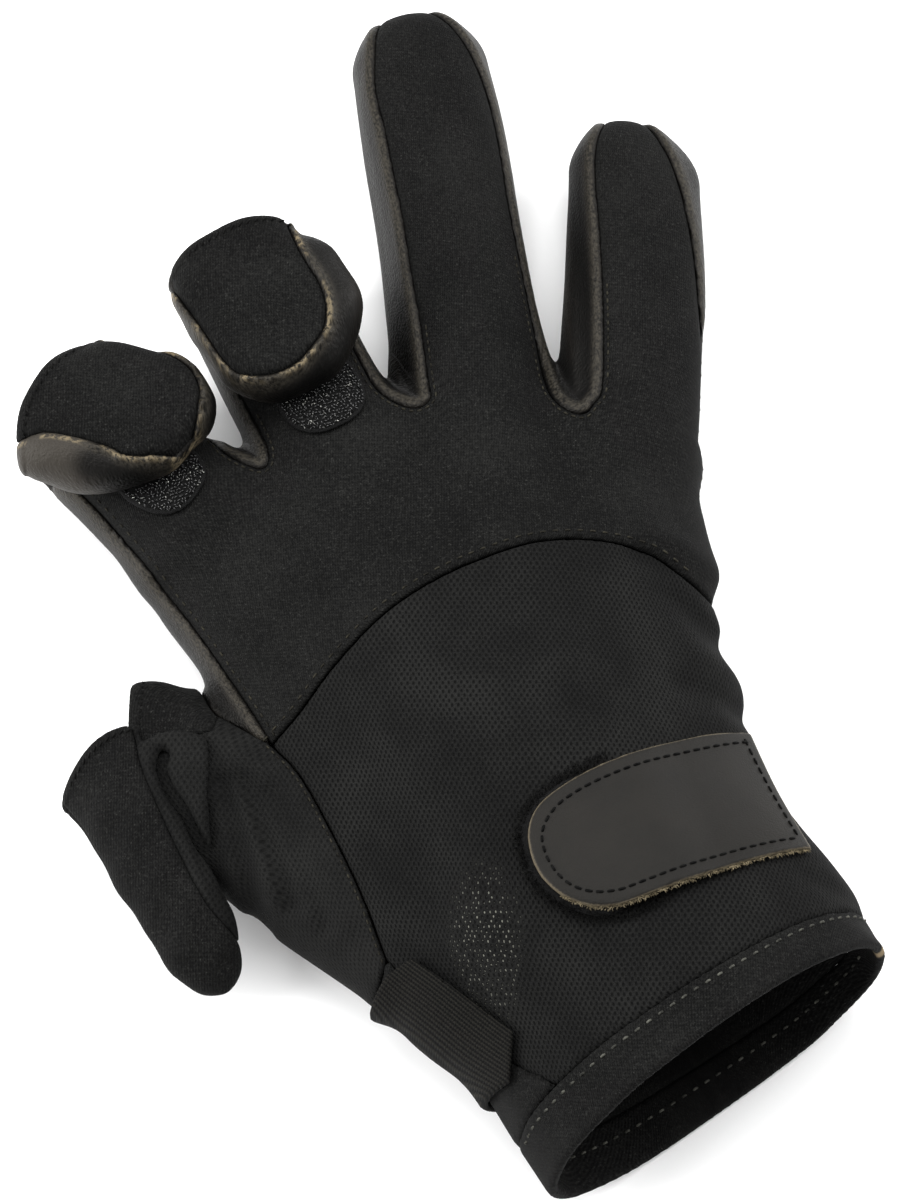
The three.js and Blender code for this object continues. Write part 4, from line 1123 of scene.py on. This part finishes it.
for name, parts in rows.items():
    PIECES[name] = tubes(name, np.vstack(parts), .28 if name == "strap_stitches" else .2)

# %% [markdown]
# The cuff's hem is sewn with long light stitches. They run right round, so they show twice: on the near
# outside, and inside the far wall, where the mouth lets the camera look in. A point can't fall down onto the
# inside of a wall, so these start on the cuff's own section and are moved in or out until they lie on it.

# %% Hem stitches
HEM_PITCH, HEM_STITCH = 2.7, 1.25


def cuff_ring(level, angles, grow):
    """Points round the hand's section at a level, moved out from its skin."""
    left, right, top, skew, rake, power = (float(HAND[name](level))
                                           for name in ("left", "right", "top", "skew", "rake", "power"))
    centre, half, widest = (left + right) / 2, (right - left) / 2 + grow, WIDEST * top
    sine, cosine = np.sin(angles), np.cos(angles)
    upper = sine > 0
    shape = 2 / np.where(upper, UPPER_POWER, power)
    height = np.where(upper, top - widest, widest + PALM_DIP) + grow
    x = centre + half * np.sign(cosine) * np.abs(cosine) ** shape
    z = widest + height * np.sign(sine) * np.abs(sine) ** shape
    return np.stack([x, level + skew * (x - centre) + rake * (z - top / 2), z], 1)


def hem_row(from_degrees, to_degrees, above_mouth, depth, lift):
    """Stitches round the cuff, at a depth in its wall. Each point is moved in or out until it lies there."""
    angles = np.radians(np.linspace(from_degrees, to_degrees, 400))
    ring, wider = (cuff_ring(MOUTH_LEVEL + above_mouth, angles, grow) for grow in (0, 1))
    out = wider - ring
    for _ in range(8):
        ring = ring - out * (skin_form(*ring.T) + depth)[:, None]
    spot, ahead = walk(np.hstack([ring, out]), HEM_PITCH)
    spot, out, ahead = spot[:, :3], spot[:, 3:], ahead[:, :3]
    shares, rises = np.array([-.5, -.3, 0, .3, .5]), np.array([-1.2, .1, 1, .1, -1.2])
    return (spot[:, None, :] + ahead[:, None, :] * (shares * HEM_STITCH)[None, :, None]
            + out[:, None, :] * (lift * rises)[None, :, None])


PIECES["hem_stitches"] = tubes("hem_stitches", np.vstack([
    hem_row(16, 172, 7.6, 0, .2), hem_row(8, 172, 7.6, WALL, -.2), hem_row(188, 352, 6, WALL, -.2)]), .25)

# %% [markdown]
# Hook tape is a field of tiny stiff arches, and loop tape is a mat of loose fibres. Only what lies outside
# the hood is given hooks, because under it they would be pressed flat. The leather strap was cut with
# shears, so its lower edge is tan and frayed.

# %% Hooks and loose fibres
draw = np.random.default_rng(11)


def scatter(outline, pitch, jitter):
    low, high = outline.min(0), outline.max(0)
    x, y = np.meshgrid(np.arange(low[0], high[0], pitch), np.arange(low[1], high[1], pitch))
    x = x + (np.arange(len(x)) % 2)[:, None] * pitch / 2
    spots = np.stack([x.ravel(), y.ravel()], 1) + draw.normal(size=(x.size, 2)) * jitter
    return spots[outline_distance(outline, spots[:, 0], spots[:, 1])[0] < -.6]


def hook_lines(name):
    spots = scatter(patch_outline(**PATCHES[name]), .72, .14)
    free = outline_distance(HOODS[name]["outline"], spots[:, 0], spots[:, 1])[0] > -1.2
    spots = spots[free]
    z = land(lifted(finger_roots_form, 1.25), spots[:, 0], spots[:, 1])
    turn = draw.random(len(spots)) * 2 * math.pi
    across = np.stack([np.cos(turn), np.sin(turn)], 1)
    shares, heights = np.array([-.2, -.22, 0, .26, .2]), np.array([-.2, .3, .62, .4, .16])
    plan = spots[:, None, :] + across[:, None, :] * shares[None, :, None]
    return np.concatenate([plan, (z[:, None] + heights)[..., None]], 2)


def fibre_lines(line, count, form, spread, length, lift):
    """Loose fibres that start near a line and wander off to its left."""
    line = np.asarray(line, float)
    spot, ahead = walk(line, .05)
    pick = draw.integers(0, len(spot), count)
    away = np.stack([-ahead[pick, 1], ahead[pick, 0]], 1)
    root = spot[pick] + away * (draw.random((count, 1)) - .5) * spread
    turn = draw.normal(size=count) * .8
    lean = np.stack([away[:, 0] * np.cos(turn) - away[:, 1] * np.sin(turn),
                     away[:, 0] * np.sin(turn) + away[:, 1] * np.cos(turn)], 1)
    reach = length * (0.5 + draw.random(count))
    shares = np.array([0, .4, .75, 1])
    plan = root[:, None, :] + lean[:, None, :] * (reach[:, None] * shares)[..., None]
    plan = plan + draw.normal(size=plan.shape) * .09 * shares[None, :, None]
    z = land(form, root[:, 0], root[:, 1])[:, None] + np.array([-.2, .3, .45, .3]) * lift
    z = z + draw.normal(size=z.shape) * .12
    return np.concatenate([plan, z[..., None]], 2)


PIECES["hooks"] = tubes("hooks", np.vstack([hook_lines("index"), hook_lines("middle")]), .1, 4, .6)
loop_edge = open_curve([(16, -46.8), (8, -48.4), (0, -51.4), (-4.2, -55.6), (-5.4, -62), (-4.6, -68),
                        (-1.4, -73.2), (4, -77.2), (12, -77.8), (18, -77)])
loose = fibre_lines(loop_edge, 1100, lifted(wrist_form, 1.2), 1.6, -1.1, 1.2)
PIECES["loop_fibres"] = tubes("loop_fibres", loose, .055, 4)
cut_edge = open_curve([(-1, -71.8), (3, -75.2), (8, -76.8), (14, -76.6), (28, -75.4), (42, -74.4),
                       (48.4, -74.1)])
frayed = fibre_lines(cut_edge, 700, lifted(strap_form, 2.6), .5, -.55, 1)
PIECES["cut_fibres"] = tubes("cut_fibres", frayed, .05, 4)

# %% [markdown]
# Everything on this glove is nearly black. What tells the materials apart is their grain and how they catch
# the light: the knit is matt with fine ribs, the mesh has rows of small holes, and leather is pebbled with a
# soft brown shine. A small class lets those patterns be written as sums of waves. Each operator adds one
# node, and picks the kind of node that fits a number, a vector or a colour.

# %% Shader sums
class Wire:
    """An output of a node in a material."""

    def __init__(self, socket):
        self.socket = socket

    @staticmethod
    def made(tree, kind, settings=(), inputs=(), output=0):
        """A new node of any kind. Its settings come first, because they can change its sockets."""
        node = tree.nodes.new(kind)
        for name, value in dict(settings).items():
            setattr(node, name, value)
        for key, value in dict(inputs).items():
            if isinstance(value, Wire):
                tree.links.new(value.socket, node.inputs[key])
            else:
                node.inputs[key].default_value = value
        return Wire(node.outputs[output])

    def make(self, kind, settings=(), inputs=(), output=0):
        return Wire.made(self.socket.id_data, kind, settings, inputs, output)

    def joined(self, other, operation, turned=False):
        first, last = (other, self) if turned else (self, other)
        kinds = {item.socket.type for item in (first, last) if isinstance(item, Wire)}
        if "RGBA" in kinds:
            return self.make("ShaderNodeMix", {"data_type": "RGBA", "blend_type": operation},
                             {0: 1.0, 6: first, 7: last}, 2)
        if "VECTOR" in kinds:
            first, last = ((v, v, v) if isinstance(v, (int, float)) else v for v in (first, last))
            return self.make("ShaderNodeVectorMath", {"operation": operation}, {0: first, 1: last})
        return self.make("ShaderNodeMath", {"operation": operation}, {0: first, 1: last})

    def __add__(self, other):
        return self.joined(other, "ADD")

    def __radd__(self, other):
        return self.joined(other, "ADD", True)

    def __sub__(self, other):
        return self.joined(other, "SUBTRACT")

    def __rsub__(self, other):
        return self.joined(other, "SUBTRACT", True)

    def __mul__(self, other):
        return self.joined(other, "MULTIPLY")

    def __rmul__(self, other):
        return self.joined(other, "MULTIPLY", True)

    def __truediv__(self, other):
        return self.joined(other, "DIVIDE")

    def __rtruediv__(self, other):
        return self.joined(other, "DIVIDE", True)

    def math(self, operation, other=0.0):
        return self.make("ShaderNodeMath", {"operation": operation}, {0: self, 1: other})

    def wave(self, length):
        """A cosine with this wavelength."""
        return (self * (2 * math.pi / length)).math("COSINE")

    def between(self, low, high):
        """0 below low and 1 above high, with soft ends."""
        return self.make("ShaderNodeMapRange", {"interpolation_type": "SMOOTHSTEP"},
                         {0: self, 1: low, 2: high, 3: 0.0, 4: 1.0})

    def noise(self, scale, detail=2.0):
        """Soft random spots over this vector, round 0.5."""
        return self.make("ShaderNodeTexNoise", {"noise_dimensions": "3D"},
                         {"Vector": self, "Scale": scale, "Detail": detail, "Roughness": 0.6})

    def blend(self, first, last):
        """From the first colour at 0 to the last at 1."""
        return self.make("ShaderNodeMix", {"data_type": "RGBA"}, {0: self, 6: first, 7: last}, 2)

    def xyz(self):
        return [Wire(part) for part in self.make("ShaderNodeSeparateXYZ", {}, {0: self}).socket.node.outputs]


print("sums that a wire can do:", sorted(name for name in vars(Wire) if name.startswith("__r")))

# %% [markdown]
# A colour is written as its code on paper, and turned into the plain light that a shader counts in. A finish
# is one shader. What is the same all over goes straight onto its sockets, and a pattern gives the rest from
# the places on the fabric. Its height goes through a bump.

# %% Colours and finishes
def shade(code):
    """A colour from its code on paper, as the shader needs it, with full cover."""
    parts = [int(code[k:k + 2], 16) / 255 for k in (1, 3, 5)]
    return (*(p / 12.92 if p <= 0.04045 else ((p + 0.055) / 1.055) ** 2.4 for p in parts), 1.0)


def finish(name, constants, pattern):
    """A material, from what is the same all over and a pattern over the cloth's places."""
    material = bpy.data.materials.new(name)
    material.use_nodes = True
    tree = material.node_tree
    shader = tree.nodes["Principled BSDF"]
    for key, value in constants.items():
        shader.inputs[key].default_value = value
    place = Wire.made(tree, "ShaderNodeAttribute", {"attribute_name": "cloth"}, {}, 1)
    results = pattern(place)
    height = results.pop("Height", None)
    if height is not None:
        results["Normal"] = place.make("ShaderNodeBump", {},
                                       {"Strength": 1.0, "Distance": MM, "Height": height})
    for key, wire in results.items():
        tree.links.new(wire.socket, shader.inputs[key])
    print(name, "has", len(tree.nodes), "nodes")
    return material


print("the knit's darkest black as light:", [round(part, 4) for part in shade("#060606")[:3]])

# %% [markdown]
# The smooth knit is a foam sheet faced with fine jersey: thin ribs, softer rungs across them, and pale flecks
# of lint. Ribs and rungs are two waves, bent by slow noise so that they never run dead straight. The grain of
# both knits runs up the picture, a little askew to the hand, as the panels were cut.

# %% Smooth knit
GRAIN = math.radians(17.5)
RIB, RUNG = .56, .72


def along_grain(place):
    x, y, z = place.xyz()
    return (x * math.cos(GRAIN) - y * math.sin(GRAIN), x * math.sin(GRAIN) + y * math.cos(GRAIN), z)


def smooth_knit(place):
    across, up, _ = along_grain(place)
    drift = (place.noise(.12) - .5) * .5
    fine = place.noise(3.2, 1.0)
    speck = place.noise(1.4, 3.0)
    rib = (across + drift).wave(RIB)
    rung = (up + drift + rib * .12).wave(RUNG)
    broad = place.noise(.045, 2.0)
    tone = (speck * .9 + fine * .6 + rib * .07 + rung * .05 + broad * .5).between(.7, 1.5)
    fleck = fine.between(.6, .78) * speck.between(.45, .65)
    return {"Base Color": fleck.blend(tone.blend(shade("#060606"), shade("#1d1d1c")), shade("#2f2f2d")),
            "Roughness": .7 + speck * .2,
            "Height": rib * .03 + rung * .018 + fine * .08 + broad * .5}


MATT = {"Specular IOR Level": .05, "Sheen Weight": .005}
FINISHES = {"neoprene_fabric": finish("neoprene_fabric", MATT, smooth_knit)}

# %% [markdown]
# The mesh of the wrist has rows of small holes, each row set off by half a step. Real holes would take
# millions of faces, so they are bump and dark colour: the product of two waves is high at every other
# crossing. The dark colour in the holes is partly the black lining and partly painted shade. Near the thumb's
# root, small glints of light are painted into the colour over the holes.

# %% Mesh knit
MESH_ACROSS, MESH_UP = 1.25, 1.95
# Where the painted glints lie: a soft patch near the thumb's root.
PAINTED_GLINT = {"x": -21.5, "y": -74, "width": 10, "length": 15, "lean": -.35}


def mesh_knit(depth):
    """Rows of small holes. A lower depth is the thumb's softer, brushed mesh."""
    def pattern(place):
        across, up, _ = along_grain(place)
        drift = (place.noise(.2) - .5) * .7
        fine, broad = place.noise(2.6, 2.0), place.noise(.05, 2.0)
        weave = (across + drift).wave(MESH_ACROSS) * (up + drift).wave(MESH_UP)
        hole = (weave * depth + (fine - .5) * 1.1).between(-.1, 1)
        x, y, _ = place.xyz()
        back = y - PAINTED_GLINT["y"]
        slide = (x - PAINTED_GLINT["x"] + back * PAINTED_GLINT["lean"]) / PAINTED_GLINT["width"]
        near = slide * slide + (back / PAINTED_GLINT["length"]) * (back / PAINTED_GLINT["length"])
        # Painted glints: near-white dots over the holes, within that patch.
        painted_glint = (1 - near.between(.1, 1.3)) * weave.between(.5, .8) * place.noise(.9).between(.46, .62)
        yarn = (fine * .8 + broad * .6).between(.4, 1.1).blend(shade("#0a0a0a"), shade("#1f1f1e"))
        # The holes' dark colour is partly the black lining and partly painted shade.
        return {"Base Color": painted_glint.blend(hole.blend(yarn, shade("#070707")), shade("#5c5c55")),
                "Roughness": .75 + fine * .2,
                "Height": hole * -.24 + fine * .14 + broad * .4}
    return pattern


FINISHES["mesh_knit"] = finish("mesh_knit", MATT, mesh_knit(1.0))
FINISHES["brushed_mesh"] = finish("brushed_mesh", MATT, mesh_knit(.6))

# %% [markdown]
# The leather is a thin synthetic one with a fine pebble, which soft cells make well. Its colour follows the
# distance from the seam: a painted highlight along the crest where it stands up at the seam, painted shade in
# the valley behind it, and a lighter brown further out, which is painted shine on the outer edges and the
# leather's own brown beyond them. The folded hoods show the same leather, smooth, with a broad painted
# highlight on the index finger's flap and painted tan highlights in the gathers.

# %% Leather
LEATHER = {"Specular IOR Level": .14, "Specular Tint": (1, .96, .9, 1)}
# Where the painted highlight on the index hood's flap lies.
FLAP_HIGHLIGHT = {"x": -69, "up": 13, "width": 10.5, "height": 9}


def pebbled(place):
    _, _, inward = place.xyz()
    cells = place.make("ShaderNodeTexVoronoi", {"feature": "SMOOTH_F1"},
                       {"Vector": place + place.noise(.8) * .8, "Scale": 1.7, "Smoothness": .6})
    broad, fine = place.noise(.07, 3.0), place.noise(1.5, 3.0)
    seam = inward + (fine - .5) * .8
    # Painted highlight: a pale line on the crest beside the seam.
    painted_crest_highlight = seam.between(.1, .8) * (1 - seam.between(1.4, 2.8))
    worn = (broad + fine * .4).between(.5, 1.0)
    # Painted shade: the valley 2 to 6 mm behind the seam is darkened.
    valley = seam.between(2.2, 3.4) * (1 - seam.between(4.4, 6))
    flank_with_painted_shade = valley.blend(worn.blend(shade("#050505"), shade("#100e0c")), shade("#020202"))
    # Lighter brown beyond 5.5 to 8.5 mm: painted shine on the outer edges, and the leather's own brown
    # further on.
    base = seam.between(5.5, 8.5).blend(flank_with_painted_shade, shade("#1c1916"))
    return {"Base Color": (painted_crest_highlight * fine.between(.3, .7)).blend(base, shade("#302d27")),
            "Roughness": .38 + fine * .2 + cells * .1,
            "Height": cells * -.12 + fine * .06 + broad * .3}


def gathered(place):
    """The hoods' leather: like the pebbled one, with a painted highlight on the index finger's broad flap and
    painted tan highlights along the gathers.
    """
    x, up, inward = place.xyz()
    look = pebbled(place)
    fine = place.noise(1.1, 3.0)
    # Painted highlight: the index hood's broad flap is made paler.
    side, rise = (x - FLAP_HIGHLIGHT["x"]) / FLAP_HIGHLIGHT["width"], (up - FLAP_HIGHLIGHT["up"]) / FLAP_HIGHLIGHT["height"]
    flap = 1 - (side * side + rise * rise).between(.5, 1.3)
    seam = inward + (fine - .5) * .9
    patchy = fine.between(.4, .6) * place.noise(.16).between(.42, .58)
    # Painted highlight: tan bits along the gathers, close to the face's seam.
    tan = seam.between(.1, .5) * (1 - seam.between(.9, 1.7)) * patchy
    pale = flap.blend(look["Base Color"], shade("#2c2925"))
    return {**look, "Base Color": (tan * .8).blend(pale, shade("#6e634e"))}


FINISHES["leather"] = finish("leather", LEATHER, pebbled)
FINISHES["gathered_leather"] = finish("gathered_leather", LEATHER, gathered)

# %% [markdown]
# The strap's leather is greyer and smoother, and its cut edge shows the tan backing. The elastic has fine
# cords along its length, and the loop and hook fabrics are dull felt under their fibres. Their patterns are
# the same few waves and noises at other sizes.

# %% Strap leather, elastic and felt
def cut_leather(place):
    _, _, inward = place.xyz()
    grain = place.make("ShaderNodeTexVoronoi", {"feature": "SMOOTH_F1"},
                       {"Vector": place + place.noise(1.2) * .5, "Scale": 2.6, "Smoothness": .8})
    fine, broad = place.noise(2.5, 3.0), place.noise(.06, 3.0)
    edge = 1 - (inward + fine * .5).between(.3, .75)
    body = (fine * .5 + broad * .7).between(.3, .9).blend(shade("#100f0d"), shade("#191714"))
    return {"Base Color": (edge * .8).blend(body, shade("#5a5243")),
            "Roughness": .5 + fine * .16,
            "Height": grain * -.05 + fine * .04 + broad * .25}


def ribbed(place):
    x, y, _ = place.xyz()
    along, across = x * .54 - y * .84, x * .84 + y * .54
    fine = place.noise(2.0, 2.0)
    rib = across.wave(.62)
    thread = (along + rib * .1).wave(.6)
    tone = (rib * .25 + fine * .8 + thread * .1).between(.1, .9)
    return {"Base Color": tone.blend(shade("#060606"), shade("#1d1c19")),
            "Roughness": .7 + fine * .2, "Height": rib * .05 + thread * .03 + fine * .08}


def fuzzy(place):
    fine = place.noise(4.0, 3.0)
    return {"Base Color": fine.between(.3, .7).blend(shade("#040404"), shade("#161616")),
            "Roughness": .55 + fine * .3, "Height": fine * .25}


FINISHES["strap_leather"] = finish("strap_leather", {"Specular IOR Level": .12}, cut_leather)
FINISHES["elastic"] = finish("elastic", MATT, ribbed)
FINISHES["hook_fabric"] = finish("hook_fabric", {"Specular IOR Level": .08}, fuzzy)

# %% [markdown]
# Threads are too thin for a weave. Slow noise through space makes some lighter than others, as worn thread
# is. The hooks are nearly clear plastic; a few of them get painted glints, near white in their colour, and
# most stay dark. The hem is the smooth knit again, with the tan end of its tape showing at the far corner of
# the cuff.

# %% Threads, hooks and hem
TAPE_END = (78, -96.5, 25)


def plain(first, last, low=.3, high=.7):
    def pattern(place):
        spot = place.make("ShaderNodeNewGeometry", {}, {}, 0)
        tone = (spot * (1 / MM)).noise(.7)
        return {"Base Color": tone.between(low, high).blend(shade(first), shade(last)),
                "Roughness": .5 + tone * .3}
    return pattern


def turned_hem(place):
    """The smooth knit, with the tan end of the tape that shows at the far corner of the cuff."""
    look = smooth_knit(place)
    away = place.make("ShaderNodeVectorMath", {"operation": "DISTANCE"}, {0: place, 1: TAPE_END}, 1)
    tape = 1 - away.between(1.5, 3.5)
    return {**look, "Base Color": tape.blend(look["Base Color"], shade("#7b6c55"))}


for name, constants, pattern in [
    ("turned_hem", MATT, turned_hem), ("seam_thread", MATT, plain("#12110f", "#2d2b24")),
    # Painted glints: near-white colour on a few of the hooks.
    ("hook", {"Specular IOR Level": .8, "Coat Weight": .6}, plain("#030303", "#b4b4ac", .58, .72)),
    ("dark_thread", MATT, plain("#020202", "#0c0c0b")), ("grey_thread", MATT, plain("#232321", "#4e4e48")),
    ("tan_fibre", MATT, plain("#4a4334", "#857a62")),
]:
    FINISHES[name] = finish(name, constants, pattern)

# %% [markdown]
# Each piece takes the material slot of the packed part that it dresses, and rides on it. Threads and fibres
# belong to the part that they are sewn into. A few pieces have a finish of their own within their slot.

# %% Who wears what
SLOTS = {
    "neoprene_fabric": ("back_panel", "thumb_pad", "under_wrist_panel", "cuff_hem", "index_hood_face",
                        "middle_hood_face", "thumb_hood_face"),
    "mesh_knit": ("wrist_panel", "thumb_gusset", "thumb_hood_back"),
    "leather": ("palm_panel", "fourchette_index_middle", "fourchette_middle_ring", "fourchette_ring_little",
                "index_hood_side", "middle_hood_side"),
    "strap_leather": ("wrist_strap",),
    "hook_fabric": ("strap_loop_patch", "index_hook_patch", "middle_hook_patch"),
    "elastic": ("elastic_tab",),
}
TRIM = {
    "seam_stitches": ("back_panel", "neoprene_fabric", "seam_thread"),
    "strap_stitches": ("wrist_strap", "strap_leather", "dark_thread"),
    "patch_stitches": ("index_hook_patch", "hook_fabric", "dark_thread"),
    "hood_stitches": ("index_hood_face", "neoprene_fabric", "dark_thread"),
    "hem_stitches": ("cuff_hem", "neoprene_fabric", "grey_thread"),
    "hooks": ("index_hook_patch", "hook_fabric", "hook"),
    "loop_fibres": ("strap_loop_patch", "hook_fabric", "dark_thread"),
    "cut_fibres": ("wrist_strap", "strap_leather", "tan_fibre"),
}
SPECIAL = {"cuff_hem": "turned_hem", "index_hood_side": "gathered_leather",
           "middle_hood_side": "gathered_leather", "thumb_gusset": "brushed_mesh",
           "thumb_hood_back": "brushed_mesh"}
for slot, names in SLOTS.items():
    for name in names:
        PIECES[name].data.materials.append(FINISHES[SPECIAL.get(name, slot)])
for name, (_, slot, look) in TRIM.items():
    PIECES[name].data.materials.append(FINISHES[look])
for name, piece in PIECES.items():
    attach(piece, "root")
    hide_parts(TRIM[name][0] if name in TRIM else name)
print(len(PIECES), "pieces dressed")

# %% [markdown]
# The photograph was taken in a pale tent: bright all round, with a long soft box on each side and one
# overhead. Lamps alone would leave the black cloth without form, and the even tent alone would leave it flat.
# The side boxes draw the thin lines of shine along the leather between the fingers.

# %% Light and floor
def soft_box(name, at, size, power):
    data = bpy.data.lights.new(name, "AREA")
    data.shape, data.size, data.size_y, data.energy = "RECTANGLE", size[0], size[1], power
    lamp = bpy.data.objects.new(name, data)
    lamp.location = at
    lamp.rotation_euler = (Vector(at) - AIM).to_track_quat("Z", "Y").to_euler()
    bpy.context.scene.collection.objects.link(lamp)


soft_box("left_box", (-.7, .1, .42), (.3, .8), 9)
soft_box("right_box", (.75, .15, .4), (.3, .8), 7)
soft_box("top_box", (.05, .35, .9), (.9, .5), 9)
world = bpy.data.worlds.new("tent")
world.use_nodes = True
world.node_tree.nodes["Background"].inputs["Color"].default_value = (1, 1, 1, 1)
world.node_tree.nodes["Background"].inputs["Strength"].default_value = .8
bpy.context.scene.world = world
bpy.context.scene.view_settings.view_transform = "Standard"

FLOOR_HALF, FLOOR_Z = 4000, -.05
corners = [(-FLOOR_HALF, -FLOOR_HALF, FLOOR_Z), (FLOOR_HALF, -FLOOR_HALF, FLOOR_Z),
           (FLOOR_HALF, FLOOR_HALF, FLOOR_Z), (-FLOOR_HALF, FLOOR_HALF, FLOOR_Z)]
floor = new_mesh("floor", np.array(corners, float), np.array([(0, 1, 2, 3)]))
paper = finish("paper", {"Base Color": (.95, .95, .95, 1), "Roughness": .9}, lambda place: {})
floor.data.materials.append(paper)
floor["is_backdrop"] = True

# %% [markdown]
# Last, the size of the dressed glove is measured and printed. Puckers and threads may stand a little proud of
# it, but the glove has to keep its size.

# %% Size of the dressed glove
low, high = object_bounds()
print("size in mm:", [round((b - a) / MM, 1) for a, b in zip(low, high)])
